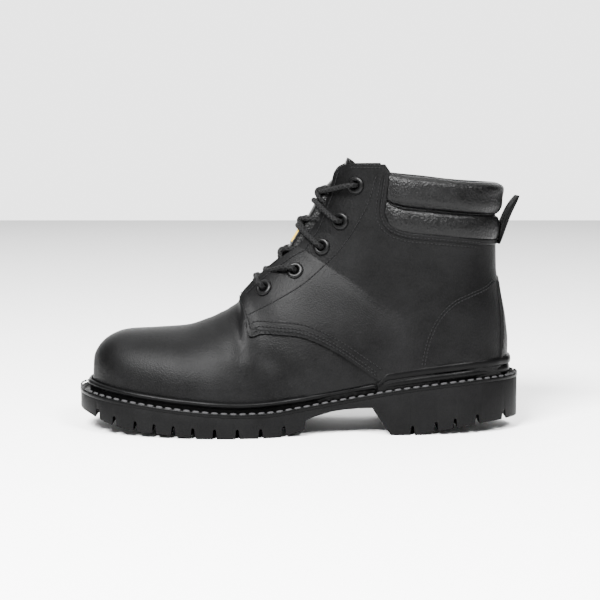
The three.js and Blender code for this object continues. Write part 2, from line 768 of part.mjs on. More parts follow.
// Collar pad: a stuffed ring in two rolls, from facing to facing round the back
const padRows = [
  { at: 0, proud: 0.3 },
  { at: 0.05, proud: 1.9 },
  { at: 0.2, proud: "lower" },
  { at: 0.36, proud: 1.9 },
  { at: 0.43, proud: "groove" },
  { at: 0.5, proud: 2.4 },
  { at: 0.66, proud: "upper" },
  { at: 0.84, proud: 3.9 },
  { at: 0.96, proud: 2.2 },
  { at: 1, proud: -1.3 },
  { at: 0.95, proud: -4.4 },
  { at: 0.82, proud: "inside" },
  { at: 0.45, proud: "inside" },
  { at: 0, proud: "inside" },
];
const padProud = { lower: padLowerRoll, groove: padGroove, upper: padUpperRoll, inside: -padInside };

function padPoint(share, row, side) {
  const proud = typeof row.proud === "string" ? padProud[row.proud] : row.proud;
  const hAt = (t) => {
    const s = sectionAt(t);
    return (share * (padFrontX - s.footX)) / (s.ridgeX - s.footX);
  };
  let low = 18;
  let high = sectionSteps;
  for (let i = 0; i < 34; i += 1) {
    const t = (low + high) / 2;
    const p = lastPoint(t, hAt(t), side);
    const target = seamHeight(p.x) * (1 - row.at) + padTop(p.x) * row.at;
    if (p.z < target) low = t;
    else high = t;
  }
  const h = hAt(low);
  const fade = proud > 0 ? Math.min(1, 0.45 + 4 * (1 - share)) : 1;
  const by = quarterStep * (row.at > 0.97 ? 0.5 : 1) + proud * fade;
  return lastPoint(low, h, side).addScaledVector(normalAt(low, Math.max(h, 0.012), side), by);
}

const collarPad = (() => {
  const shares = [1, 0.97, 0.9, 0.78, 0.64, 0.5, 0.36, 0.24, 0.14, 0.07, 0.025];
  const loops = [
    ...shares.map((share) => padRows.map((row) => padPoint(share, row, -1))),
    ...shares.reverse().map((share) => padRows.map((row) => padPoint(share, row, 1))),
  ];
  return loopsSolid(loops.reverse());
})();

// Tongue: a gently arched strip that shows between the facings and widens beneath them
const tongueLine = [
  [0.329, 0.384],
  [0.371, 0.447],
  [0.414, 0.542],
  [0.463, 0.629],
  [0.499, 0.719],
  [0.5265, 0.794],
  [0.544, 0.848],
  [0.563, 0.9],
  [0.592, 0.958],
  [0.625, 1.019],
].map(([share, rise]) => place(share, rise));
const tongueCurve = new THREE.CatmullRomCurve3(
  tongueLine.map(([x, z]) => new THREE.Vector3(x, ridgeLean, z)),
  false,
  "centripetal",
);

function tongueFrame(u) {
  const at = tongueCurve.getPoint(u);
  const along = tongueCurve.getTangent(u);
  return { at, along, out: new THREE.Vector3(-along.z, 0, along.x) };
}

// The last's surface seen as side-view lines, each at its own distance from the ridge.
const ridgeGrid = [-20, -16, -12, -6, 0, 6, 12, 16, 20].map((y) => {
  const line = [];
  for (let t = 7.5; t <= sectionSteps; t += 0.25) {
    let low = sectionAt(t).belly;
    let high = 1;
    for (let i = 0; i < 24; i += 1) {
      const h = (low + high) / 2;
      const reach = Math.abs(lastPoint(t, h, y < 0 ? -1 : 1).y - ridgeLean);
      if (reach > Math.abs(y)) low = h;
      else high = h;
    }
    line.push(lastPoint(t, low, y < 0 ? -1 : 1));
  }
  return { y, line };
});

// How far below the crown of the tongue the last's surface lies, at y from the ridge.
function depthTo(frame, y) {
  const { line } = ridgeGrid.find((row) => row.y === y);
  let depth = 0;
  line.forEach((p, i) => {
    if (i === 0) return;
    const a = line[i - 1].clone().sub(frame.at).dot(frame.along);
    const b = p.clone().sub(frame.at).dot(frame.along);
    if (a * b > 0 || a === b) return;
    const hit = line[i - 1].clone().lerp(p, a / (a - b));
    depth = -hit.sub(frame.at).dot(frame.out);
  });
  return depth;
}

const tongue = (() => {
  const half = throatWidth / 2 - gap;
  const loops = [];
  const steps = 12;
  for (let i = 0; i <= steps; i += 1) {
    const u = i / steps;
    const frame = tongueFrame(u);
    const under = wall + gap + 0.8;
    const covered = frame.at.x < slotStartX + 3;
    const wing = tongueWidth / 2;
    const profile = (sign) => {
      const beneath = (y) => depthTo(frame, sign * y) + under * (1.2 + 1.55 * (y / 20) ** 3);
      const shoulder = Math.max(beneath(12), 1.2);
      const top = [
        [0, covered ? beneath(0) : 0],
        [half * 0.45, covered ? beneath(6) : 0.35],
        [half * 0.78, covered ? beneath(12) - 0.6 : Math.min(shoulder * 0.6, 1.5)],
        [half * 0.94, covered ? beneath(12) - 0.2 : Math.min(shoulder * 0.85, 3.6)],
        [half * 0.97, covered ? beneath(12) : shoulder - 0.5],
        [half * 1.12, Math.max(beneath(12), beneath(16) - 0.6)],
        [wing * 0.93, beneath(20) + 0.5],
        [wing, beneath(20) + 1.9],
      ];
      const inner = [
        [wing - 0.3, beneath(20) + 1.4 + tongueThickness],
        [wing * 0.84, beneath(16) * 0.45 + beneath(20) * 0.55 + tongueThickness],
        [half * 0.86, shoulder + tongueThickness + 1.6],
        [half * 0.74, top[4][1] + tongueThickness * 0.6],
        [half * 0.55, top[2][1] + tongueThickness],
        [0, top[0][1] + tongueThickness],
      ];
      return [...top, ...inner].map(([y, d]) => {
        const p = frame.at.clone().addScaledVector(frame.out, -d);
        return p.setY(p.y + sign * y);
      });
    };
    const inside = profile(1);
    const outside = profile(-1).slice(1, -1).reverse();
    loops.push([...inside, ...outside]);
  }
  return loopsSolid(loops.reverse());
})();

// Pull loop: a folded strap stitched to the pad at the back seam, leaning out at the top
const pullLoop = (() => {
  const root = padPoint(0.025, { at: 0.02, proud: "lower" }, 1);
  const rowsUp = [
    { up: 0, out: 0.9, thick: tabRootThickness * 0.4 },
    { up: 0.3, out: 1.4, thick: tabRootThickness * 0.5 },
    { up: 0.55, out: 3.3, thick: tabRootThickness * 0.7 },
    { up: 0.75, out: 6.6, thick: tabRootThickness * 0.75 },
    { up: 0.9, out: 9.8, thick: tabRootThickness * 0.5 },
    { up: 1, out: 12.6, thick: tabTipThickness },
  ];
  const backX = Math.max(
    ...padRows.slice(0, 8).map((row) => padPoint(0.025, row, 1).x),
  );
  const loops = rowsUp.map(({ up, out, thick }) => {
    const x = backX - tabSink + gap + out;
    const z = root.z - 3 + up * tabLength;
    const w = tabWidth / 2;
    return [
      [x, -w],
      [x + thick, -w + 0.6],
      [x + thick, w - 0.6],
      [x, w],
    ].map(([px, y]) => new THREE.Vector3(px, y, z));
  });
  return loopsSolid(loops);
})();

// Eyelets: a flange outside and a barrel through the facing, all one turned ring
const eyeletRing = (() => {
  const bore = eyeletHole / 2;
  const barrel = bore + eyeletBarrelWall;
  const flange = eyeletFlange / 2;
  const seat = 0.85;
  return [
    [bore, -wall - quarterStep - 0.2],
    [barrel, -wall - quarterStep - 0.2],
    [barrel, seat],
    [flange, seat],
    [bore, seat + 0.9],
  ];
})();

// Lace bars: one across each pair of eyelets, over the tongue
const laceRows = [
  { height: 0.532, lift: 2.9 },
  { height: 0.573, lift: 2.4 },
  { height: 0.738, lift: 0.8 },
  { height: 0.836, lift: 0.6 },
  { height: 0.868, lift: 0.6 },
];
function crownAt(height) {
  const z = ballThickness + height * upperHeight;
  let low = 0;
  let high = 1;
  for (let i = 0; i < 30; i += 1) {
    const u = (low + high) / 2;
    if (tongueCurve.getPoint(u).z < z) low = u;
    else high = u;
  }
  return tongueFrame(low);
}
const laceBars = laceRows.map(({ height, lift }, i) => {
  const crown = crownAt(height);
  const radius = laceDiameter / 2;
  const top = crown.at.clone().addScaledVector(crown.out, radius + lift);
  const shoulderY = throatWidth * 0.4;
  const half = (side) => {
    const frame = eyeletFrames[2 * i + (side < 0 ? 0 : 1)];
    const shoulder = top.clone().addScaledVector(crown.out, -1.3);
    shoulder.y += side * shoulderY;
    const towards = shoulder.clone().sub(frame.at);
    towards.addScaledVector(frame.out, -towards.dot(frame.out)).normalize();
    const step = (along, up) =>
      frame.at.clone().addScaledVector(towards, along).addScaledVector(frame.out, up);
    return [step(0, -1.4), step(0, 2.2), step(0.5, 3.8), step(2.2, 5.1), step(5, 5.4), shoulder];
  };
  const path = [...half(-1), top, ...half(1).reverse()];
  const curve = new THREE.CatmullRomCurve3(path, false, "centripetal");
  const loops = [];
  const steps = 15;
  const sides = 6;
  const frames = curve.computeFrenetFrames(steps, false);
  for (let k = 0; k <= steps; k += 1) {
    const at = curve.getPointAt(k / steps);
    const loop = [];
    for (let j = 0; j < sides; j += 1) {
      const turn = (2 * Math.PI * j) / sides;
      loop.push(
        at
          .clone()
          .addScaledVector(frames.normals[k], radius * Math.cos(turn))
          .addScaledVector(frames.binormals[k], radius * Math.sin(turn)),
      );
    }
    loops.push(loop);
  }
  return loopsSolid(loops);
});

const leather = new THREE.MeshStandardMaterial({ color: 0x1c1c1e, roughness: 0.5 });
const padLeather = new THREE.MeshStandardMaterial({ color: 0x232325, roughness: 0.38 });
const rubber = new THREE.MeshStandardMaterial({ color: 0x1a1a1b, roughness: 0.7 });
const weltRubber = new THREE.MeshStandardMaterial({ color: 0x202022, roughness: 0.62 });
const felt = new THREE.MeshStandardMaterial({ color: 0x3b3936, roughness: 0.95 });
const enamel = new THREE.MeshStandardMaterial({ color: 0x0f0f10, roughness: 0.3, metalness: 0.6 });
const cord = new THREE.MeshStandardMaterial({ color: 0x151516, roughness: 0.9 });

const boot = new THREE.Group();
boot.name = "work_boot_left";
boot.add(
  meshOf("outsole", outsole, rubber),
  meshOf("welt", welt, weltRubber),
  meshOf("heel_rand", heelRand, weltRubber),
  meshOf("insole", insole, felt),
  meshOf("upper", upper, leather),
  meshOf("tongue", tongue, padLeather),
  meshOf("collar_pad", collarPad, padLeather),
  meshOf("pull_loop", pullLoop, leather),
);
eyeletFrames.forEach((frame, i) => {
  const name = `eyelet_${i % 2 === 0 ? "outer" : "inner"}_${Math.floor(i / 2) + 1}`;
  boot.add(meshOf(name, turned(eyeletRing, frame, eyeletSides), enamel));
});
laceBars.forEach((bar, i) => {
  boot.add(meshOf(`lace_bar_${i + 1}`, bar, cord));
});

export default boot;
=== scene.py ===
# %% [markdown]
# # A black lace-up work boot
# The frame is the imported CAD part: it fixes every size. This script dresses it in leather,
# rubber, thread and cord. Lengths are worked out in millimetres and turned to metres at the
# end, because a bootmaker's sizes read best in millimetres.

import math

import bpy
import numpy as np
from mathutils import Matrix, Vector


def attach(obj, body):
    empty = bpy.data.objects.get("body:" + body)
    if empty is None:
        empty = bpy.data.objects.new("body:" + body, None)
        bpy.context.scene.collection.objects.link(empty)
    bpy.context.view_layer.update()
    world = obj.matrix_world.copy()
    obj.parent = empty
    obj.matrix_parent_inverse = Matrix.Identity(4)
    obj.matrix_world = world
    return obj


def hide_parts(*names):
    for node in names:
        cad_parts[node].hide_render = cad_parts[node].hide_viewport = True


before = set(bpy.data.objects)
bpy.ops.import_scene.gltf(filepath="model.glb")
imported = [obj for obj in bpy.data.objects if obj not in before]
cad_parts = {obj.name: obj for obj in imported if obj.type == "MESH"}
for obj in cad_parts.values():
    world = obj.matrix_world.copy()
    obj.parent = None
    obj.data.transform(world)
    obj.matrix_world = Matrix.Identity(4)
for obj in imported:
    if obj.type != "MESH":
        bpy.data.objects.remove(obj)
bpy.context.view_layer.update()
MM = 0.001
bpy.ops.object.select_all(action="DESELECT")

# %% [markdown]
# ## Sizes of the boot
# These are the sizes that the CAD was driven by, so that every dressed piece lands on its
# solid.

# %% Sizes in millimetres
SOLE_LENGTH = 307.0
SOLE_WIDTH = 109.5
BALL_THICKNESS = 16.7
TOE_TOP = 29.5
HEEL_TOP = 38.6
TOE_SPRING = 14.6
HEEL_BEVEL = 8.6
WELT_MARGIN = 8.0
WELT_THICKNESS = 2.6
BEAD_HEIGHT = 6.6
RAND_HEIGHT = 13.2
SHAFT_HEIGHT = 183.3
WALL = 2.4
QUARTER_STEP = 1.8
STAY_STEP = 1.0
THROAT_WIDTH = 25.0
ANKLE_WIDTH = 68.0
LACE_RADIUS = 1.8
GAP = 0.3
TOE_X = -SOLE_LENGTH / 2
HEEL_X = SOLE_LENGTH / 2
BALL_X = -0.124 * SOLE_LENGTH
FLAT_START = -0.154 * SOLE_LENGTH
FLAT_END = -0.059 * SOLE_LENGTH
FORE_END = 0.013 * SOLE_LENGTH
BREAST_TOP = 0.167 * SOLE_LENGTH
BREAST_FOOT = 0.2045 * SOLE_LENGTH
HEEL_FLAT_END = 0.262 * SOLE_LENGTH
RAND_START = 0.173 * SOLE_LENGTH
UPPER_TOE = TOE_X + WELT_MARGIN + 1.5
UPPER_HEEL = HEEL_X - WELT_MARGIN - QUARTER_STEP - STAY_STEP / 2
UPPER_LENGTH = UPPER_HEEL - UPPER_TOE
UPPER_HEIGHT = SHAFT_HEIGHT - BALL_THICKNESS
RIDGE_LEAN = 0.025 * SOLE_WIDTH
PAD_FRONT = UPPER_TOE + 0.705 * UPPER_LENGTH
SLOT_START = UPPER_TOE + 0.362 * UPPER_LENGTH


# %% [markdown]
# ## Curves through chosen values
# A shoe's lines are fair curves through a few chosen places. This one never overshoots the
# values it is given, so a sole stays flat where its rows are flat.

# %% Fair curves
def through_rows(at, value):
    at, value = np.asarray(at, float), np.asarray(value, float)
    slope = np.diff(value) / np.diff(at)
    inner = np.where(
        slope[:-1] * slope[1:] > 0,
        2 * slope[:-1] * slope[1:] / np.where(slope[:-1] + slope[1:] == 0, 1, slope[:-1] + slope[1:]),
        0,
    )
    tangent = np.concatenate([[slope[0]], inner, [slope[-1]]])

    def curve(x):
        x = np.asarray(x, float)
        i = np.clip(np.searchsorted(at, x, side="left") - 1, 0, len(at) - 2)
        span = at[i + 1] - at[i]
        u = np.clip((x - at[i]) / span, 0, 1)
        rise = value[i] * (1 + 2 * u) * (1 - u) ** 2 + value[i + 1] * u * u * (3 - 2 * u)
        return rise + span * (tangent[i] * u * (1 - u) ** 2 + tangent[i + 1] * u * u * (u - 1))

    return curve


def fair_line(knots, closed=False, per_span=16):
    """A centripetal curve through knots, as many points."""
    knots = np.asarray(knots, float)
    if closed:
        p = np.concatenate([knots[-1:], knots, knots[:2]])
    else:
        p = np.concatenate([2 * knots[:1] - knots[1:2], knots, 2 * knots[-1:] - knots[-2:-1]])
    out = []
    for a, b, c, d in zip(p[:-3], p[1:-2], p[2:-1], p[3:]):
        s0, s1, s2 = (max(np.linalg.norm(v), 1e-9) ** 0.5 for v in (b - a, c - b, d - c))
        m1 = ((b - a) / s0 - (c - a) / (s0 + s1) + (c - b) / s1) * s1
        m2 = ((c - b) / s1 - (d - b) / (s1 + s2) + (d - c) / s2) * s1
        for u in np.arange(per_span) / per_span:
            out.append(
                (2 * u**3 - 3 * u**2 + 1) * b
                + (u**3 - 2 * u**2 + u) * m1
                + (3 * u**2 - 2 * u**3) * c
                + (u**3 - u**2) * m2
            )
    if not closed:
        out.append(knots[-1])
    return np.array(out)


def evenly(line, count=None, step=None, closed=False):
    """Points spaced evenly along a polyline."""
    line = np.concatenate([line, line[:1]]) if closed else np.asarray(line, float)
    run = np.concatenate([[0], np.cumsum(np.linalg.norm(np.diff(line, axis=0), axis=1))])
    if count is None:
        count = max(2, int(round(run[-1] / step)) + (0 if closed else 1))
    at = np.linspace(0, run[-1], count, endpoint=not closed)
    return np.stack([np.interp(at, run, line[:, k]) for k in range(line.shape[1])], 1)


# %% [markdown]
# ## The sole's outline
# Seen from above, the outline is wider at the ball and lies a little to the outer side at the
# toe, as every left sole does.

# %% Sole outline and profile
OUTLINE_ROWS = [
    (0, 0.06), (0.009, -0.22), (0.027, -0.42), (0.056, -0.6), (0.105, -0.77), (0.19, -0.915),
    (0.3, -0.995), (0.39, -0.965), (0.5, -0.83), (0.61, -0.74), (0.74, -0.725), (0.85, -0.7),
    (0.91, -0.6), (0.957, -0.43), (0.99, -0.21), (1, 0), (0.99, 0.2), (0.957, 0.42),
    (0.91, 0.59), (0.85, 0.685), (0.74, 0.7), (0.63, 0.665), (0.53, 0.68), (0.42, 0.81),
    (0.33, 0.94), (0.24, 1), (0.15, 0.925), (0.085, 0.79), (0.04, 0.6), (0.012, 0.36),
]
outline_knots = [(TOE_X + a * SOLE_LENGTH, c * SOLE_WIDTH / 2) for a, c in OUTLINE_ROWS]


def sole_outline(inset, count):
    line = evenly(fair_line(outline_knots, closed=True, per_span=24), count, closed=True)
    along = np.roll(line, -1, 0) - np.roll(line, 1, 0)
    along /= np.linalg.norm(along, axis=1)[:, None]
    return line + inset * np.stack([-along[:, 1], along[:, 0]], 1)


def half_widths(inset):
    line = sole_outline(inset, 1200)
    tip, back = line[:, 0].argmin(), line[:, 0].argmax()
    turned = np.roll(line, -tip, 0)
    back = (back - tip) % len(line)
    outer, inner = turned[: back + 1], turned[back:][::-1]
    outer, inner = outer[np.argsort(outer[:, 0])], inner[np.argsort(inner[:, 0])]

    def widths(x):
        low = np.interp(x, outer[:, 0], outer[:, 1])
        high = np.interp(x, inner[:, 0], inner[:, 1])
        inside = (x > turned[0, 0]) & (x < turned[back, 0])
        tip_y = np.where(np.asarray(x) < 0, turned[0, 1], turned[back, 1])
        return np.where(inside, (low + high) / 2, tip_y), np.where(inside, (high - low) / 2, 0)

    return widths


seat_rise = through_rows(
    [0, 0.1, 0.2, 0.32, 0.42, 0.53, 0.64, 0.75, 0.86, 1],
    [0, 0.025, 0.14, 0.31, 0.46, 0.63, 0.765, 0.885, 0.965, 1],
)
spring_rise = through_rows(
    [0, 0.2, 0.36, 0.54, 0.72, 0.8, 0.89, 0.97, 1],
    [0, 0.06, 0.15, 0.25, 0.45, 0.6, 0.83, 0.97, 1],
)


def welt_top(x):
    x = np.asarray(x, float)
    ahead = np.clip((BALL_X - x) / (BALL_X - TOE_X), 0, 1)
    toe = BALL_THICKNESS + (TOE_TOP - BALL_THICKNESS) * ahead**1.45
    heel = BALL_THICKNESS + (HEEL_TOP - BALL_THICKNESS) * seat_rise((x - BALL_X) / (HEEL_X - BALL_X))
    return np.where(x < BALL_X, toe, heel)


def tread_face(x):
    x = np.clip(np.asarray(x, float), TOE_X, HEEL_X)
    toe = TOE_SPRING * spring_rise((FLAT_START - x) / (FLAT_START - TOE_X))
    rise = np.clip((x - FLAT_END) / (FORE_END - FLAT_END), 0, None)
    waist = 0.28 * BALL_THICKNESS * rise**1.4
    share = np.clip((x - HEEL_FLAT_END) / (HEEL_X - HEEL_FLAT_END), 0, 1)
    heel = HEEL_BEVEL * np.sin(np.pi / 2 * share**0.95)
    ahead = np.where(x < FLAT_START, toe, 0)
    behind = np.where(x < BREAST_FOOT, waist, heel)
    return np.where(x < FLAT_END, ahead, behind)


# %% [markdown]
# ## The last
# A boot is shaped over a last. Its skin is a fan of sections, upright at the toe and level at
# the collar, each a smooth curve from the sole to the front line. Every leather piece below
# is cut from this one surface, which is why a formula is used here and not a sculpted mesh.

# %% The last's sections
SECTION_ROWS = [
    # foot on the sole or back line, ridge on the front line, widest, belly, heel, crown
    (0, None, (0, 0.176), 0, 0.3, 2, 2.4),
    (0.0035, None, (0.0035, 0.203), 0, 0.3, 2, 2.4),
    (0.017, None, (0.017, 0.244), 0, 0.3, 2, 2.4),
    (0.045, None, (0.045, 0.283), 0, 0.3, 2, 2.4),
    (0.086, None, (0.086, 0.3055), 0, 0.3, 2, 2.35),
    (0.155, None, (0.155, 0.3128), 0, 0.3, 2, 2.25),
    (0.225, None, (0.225, 0.3225), 0, 0.28, 2, 2.1),
    (0.292, None, (0.289, 0.358), 0, 0.25, 2, 1.95),
    (0.342, None, (0.334, 0.397), 0, 0.22, 2, 1.9),
    (0.37, None, (0.354, 0.42), 0, 0.2, 2, 1.88),
    (0.405, None, (0.363, 0.468), 0, 0.19, 2, 1.86),
    (0.47, None, (0.3795, 0.516), 0, 0.18, 2, 1.88),
    (0.58, None, (0.409, 0.5625), 0.352, 0.2, 2, 1.92),
    (0.71, None, (0.4395, 0.61), 0.339, 0.25, 2, 1.96),
    (0.84, None, (0.463, 0.645), 0.331, 0.28, 2, 2),
    (0.915, None, (0.474, 0.661), 0.326, 0.3, 2.1, 2),
    (0.962, None, (0.48, 0.6695), 0.321, 0.31, 2.2, 2),
    (0.987, None, (0.484, 0.6755), 0.319, 0.32, 2.25, 2),
    (0.9985, 0.118, (0.486, 0.68), 0.317, 0.32, 2.3, 2),
    (1, 0.25, (0.498, 0.7), 0.314, 0.34, 2.3, 2),
    (0.9935, 0.365, (0.511, 0.721), 0.311, 0.36, 2.25, 2),
    (0.9815, 0.474, (0.523, 0.74), 0.309, 0.38, 2.2, 2),
    (0.9725, 0.575, (0.536, 0.767), 0.308, 0.4, 2.2, 2.05),
    (0.9715, 0.672, (0.547, 0.8), 0.309, 0.41, 2.2, 2.1),
    (0.972, 0.725, (0.5575, 0.84), 0.31, 0.42, 2.2, 2.1),
    (0.9725, 0.775, (0.5675, 0.877), 0.311, 0.43, 2.2, 2.1),
    (0.973, 0.83, (0.575, 0.92), 0.313, 0.43, 2.2, 2.15),
    (0.9735, 0.885, (0.5825, 0.962), 0.315, 0.44, 2.2, 2.15),
    (0.974, 0.95, (0.59, 1.005), 0.317, 0.44, 2.2, 2.2),
    (0.975, 1.09, (0.602, 1.1), 0.318, 0.45, 2.2, 2.2),
]
feather_half = half_widths(WELT_MARGIN)
FOOT_DROP = 6.0


def section_numbers():
    rows = []
    for i, (share, rise, ridge, wide, belly, heel, crown) in enumerate(SECTION_ROWS):
        x = UPPER_TOE + share * UPPER_LENGTH
        on_sole = rise is None
        middle, half = feather_half(max(x, UPPER_TOE + 0.05) if on_sole and i else x)
        half = float(half) if on_sole and i else 0.0
        scale = ANKLE_WIDTH / (0.621 * SOLE_WIDTH)
        widest = 0 if i == 0 else max(wide * SOLE_WIDTH * scale, half) if wide else half * 1.012
        foot_z = float(welt_top(x)) - FOOT_DROP if on_sole else BALL_THICKNESS + rise * UPPER_HEIGHT
        rows.append((x, foot_z, UPPER_TOE + ridge[0] * UPPER_LENGTH,
                     BALL_THICKNESS + ridge[1] * UPPER_HEIGHT, half, float(middle), widest,
                     belly, heel, crown))
    return np.array(rows)


section_table = section_numbers()
section_curves = [through_rows(range(len(SECTION_ROWS)), column) for column in section_table.T]
LAST_SECTION = len(SECTION_ROWS) - 1


def last_point(t, h, side):
    """A point of the last's skin: t counts sections, h runs from the foot to the front line."""
    fx, fz, rx, rz, half, middle, wide, belly, heel, crown = (c(t) for c in section_curves)
    wide_safe = np.maximum(wide, 1e-9)
    missing = 1 - np.clip(half / wide_safe, 0, 1) ** heel
    below = np.clip((belly - h) / belly, 0, 1)
    above = np.clip((h - belly) / (1 - belly), 0, 1)
    lower = wide * np.clip(1 - missing * below**heel, 0, 1) ** (1 / heel)
    upper = wide * np.clip(1 - above**crown, 0, 1) ** (1 / crown)
    y = middle + (RIDGE_LEAN - middle) * h + side * np.where(h < belly, lower, upper)
    return np.stack([fx + (rx - fx) * h, y, fz + (rz - fz) * h], -1)


def last_normal(t, h, side):
    t = np.clip(t, 0.03, LAST_SECTION - 0.03)
    h = np.clip(h, 0.006, 0.994)
    along = last_point(t + 0.02, h, side) - last_point(t - 0.02, h, side)
    up = last_point(t, h + 0.004, side) - last_point(t, h - 0.004, side)
    n = np.cross(along, up)
    return -side * n / np.linalg.norm(n, axis=-1)[..., None]


def place_at(x, z):
    """Where the skin is met, seen from the side, at x and z."""
    x, z = np.asarray(x, float), np.asarray(z, float)
    low, high = np.full(x.shape, 0.5), np.full(x.shape, float(LAST_SECTION))
    for _ in range(40):
        t = (low + high) / 2
        fx, fz, rx, rz = (c(t) for c in section_curves[:4])
        behind = (rx - fx) * (z - fz) - (rz - fz) * (x - fx) < 0
        low, high = np.where(behind, t, low), np.where(behind, high, t)
    fx, fz, rx, rz = (c(low) for c in section_curves[:4])
    h = ((x - fx) * (rx - fx) + (z - fz) * (rz - fz)) / ((rx - fx) ** 2 + (rz - fz) ** 2)
    return low, h


def place(rows):
    """Shares of the upper's length and height, as x and z in millimetres."""
    rows = np.asarray(rows, float)
    x = UPPER_TOE + rows[:, 0] * UPPER_LENGTH
    z = BALL_THICKNESS + rows[:, 1] * UPPER_HEIGHT
    return np.stack([x, z], 1)


print("last:", len(SECTION_ROWS), "sections over", round(UPPER_LENGTH, 1), "mm")


# %% [markdown]
# ## Seams and edges, seen from the side
# A pattern cutter draws each seam on the last as it is seen from the side. The places are
# shares of the upper's length and height, so they follow the boot when its size changes.

# %% Seam lines
QUARTER_FRONT = fair_line(place([
    (0.352, 0.6), (0.3585, 0.435), (0.3665, 0.4), (0.375, 0.355), (0.3845, 0.304),
    (0.397, 0.302), (0.41, 0.3105), (0.456, 0.3095), (0.503, 0.303), (0.549, 0.276),
    (0.596, 0.233), (0.643, 0.179), (0.692, 0.118), (0.716, 0.07),
]))
FRONT_SLANT = 3.6
PAD_SEAM = place([
    (0.705, 0.8), (0.712, 0.765), (0.726, 0.742), (0.757, 0.724), (0.828, 0.712),
    (0.898, 0.7), (0.97, 0.689),
])
seam_height = through_rows(PAD_SEAM[:, 0], PAD_SEAM[:, 1])
pad_top = through_rows(
    [UPPER_TOE + s * UPPER_LENGTH for s in (0.705, 0.735, 0.81, 0.88, 0.93, 0.98)],
    [BALL_THICKNESS + r * UPPER_HEIGHT for r in (0.966, 0.959, 0.946, 0.932, 0.9265, 0.9235)],
)
EYELET_PLACES = place(
    [(0.4206, 0.4863), (0.4947, 0.5592), (0.5594, 0.659), (0.6039, 0.7664), (0.6395, 0.9127)]
)
THROAT = place([
    (0.3465, 0.4), (0.362, 0.47), (0.378, 0.51), (0.44, 0.606), (0.489, 0.68), (0.53, 0.752),
    (0.56, 0.85), (0.585, 0.95), (0.6, 1.15),
])
FACING_BACK = 58.3
BELOW, ABOVE = -40.0, SHAFT_HEIGHT + 60


def line_distance(x, z, line):
    """Distance in side view from each point to a polyline."""
    p = np.stack([x.ravel(), z.ravel()], 1)
    best = np.full(len(p), 1e9)
    for a, b in zip(line[:-1], line[1:]):
        ab = b - a
        u = np.clip(((p - a) @ ab) / max(ab @ ab, 1e-12), 0, 1)
        best = np.minimum(best, np.linalg.norm(p - a - u[:, None] * ab, axis=1))
    return best.reshape(x.shape)


print("quarter's front:", len(QUARTER_FRONT), "points; eyelets at", EYELET_PLACES.round(1).tolist())

# %% [markdown]
# ## Meshes and cuts
# A leather piece is a thick skin cut to its pattern. The skin is made in code, and the
# pattern is cut with the Boolean modifier, as a clicker knife would.

# %% Mesh helpers
def mesh_object(name, points, faces):
    mesh = bpy.data.meshes.new(name)
    mesh.from_pydata((np.asarray(points) * MM).tolist(), [], faces)
    mesh.update()
    obj = bpy.data.objects.new(name, mesh)
    bpy.context.scene.collection.objects.link(obj)
    return obj


def only(obj):
    bpy.ops.object.select_all(action="DESELECT")
    obj.select_set(True)
    bpy.context.view_layer.objects.active = obj


def turn_outwards(obj):
    only(obj)
    bpy.ops.object.mode_set(mode="EDIT")
    bpy.ops.mesh.select_all(action="SELECT")
    bpy.ops.mesh.remove_doubles(threshold=1e-6)
    bpy.ops.mesh.normals_make_consistent(inside=False)
    bpy.ops.object.mode_set(mode="OBJECT")


def finish_modifier(obj, kind, **settings):
    only(obj)
    modifier = obj.modifiers.new(kind.title(), kind)
    for key, value in settings.items():
        setattr(modifier, key, value)
    bpy.ops.object.modifier_apply(modifier=modifier.name)


def cut(obj, tool, operation="DIFFERENCE"):
    """Cuts obj with tool, which is used up."""
    finish_modifier(obj, "BOOLEAN", operation=operation, solver="MANIFOLD", object=tool)
    bpy.data.objects.remove(tool)
    return obj


def loops_mesh(name, loops, closed=False):
    """Skins a row of closed loops, all with the same number of points."""
    rows, n = len(loops), len(loops[0])
    i = np.arange(rows if closed else rows - 1)[:, None]
    j = np.arange(n)[None, :]
    a, b = i * n + j, i * n + (j + 1) % n
    step = ((i + 1) % rows) * n
    faces = np.stack([a, b, step + (j + 1) % n, step + j], -1).reshape(-1, 4).tolist()
    if not closed:
        faces.append(list(range(n))[::-1])
        faces.append([(rows - 1) * n + k for k in range(n)])
    return mesh_object(name, np.concatenate(loops), faces)


# %% [markdown]
# A prism right through the boot stands for the knife. Its outline is drawn as seen from the
# side, or from above.

# %% Prisms
def side_prism(line, low=-90.0, high=90.0):
    line = np.asarray(line, float)
    n = len(line)
    near = np.stack([line[:, 0], np.full(n, low), line[:, 1]], 1)
    far = near + [0, high - low, 0]
    prism = loops_mesh("cutter", [near, far])
    turn_outwards(prism)
    return prism


def plan_prism(line, low, high, name="cutter"):
    line = np.asarray(line, float)
    n = len(line)
    foot = np.column_stack([line, np.full(n, low)])
    prism = loops_mesh(name, [foot, foot + [0, 0, high - low]])
    turn_outwards(prism)
    return prism


def welt_band(low, high, start=TOE_X - 5, end=HEEL_X + 5):
    x = np.linspace(start, end, 90)
    under = np.column_stack([x, welt_top(x) + low])
    over = np.column_stack([x, welt_top(x) + high])[::-1]
    return side_prism(np.concatenate([under, over]))


def smooth(obj, angle=32):
    only(obj)
    bpy.ops.object.shade_smooth_by_angle(angle=math.radians(angle))
    return obj


# %% [markdown]
# ## Skins of the last
# The grid is fine where the sections are far apart. Each skin is grown outwards by a map of
# heights, and a grown half is closed down the middle so that it can be cut.

# %% Growing the last
def fine_sections(step=1.35):
    stations = [0.0]
    h = np.linspace(0, 1, 9)
    for i in range(LAST_SECTION):
        a, b = last_point(np.full(9, float(i)), h, -1), last_point(np.full(9, i + 1.0), h, -1)
        count = max(2, int(np.linalg.norm(b - a, axis=1).max() / step))
        stations += list(i + np.arange(1, count + 1) / count)
    return np.array(stations)


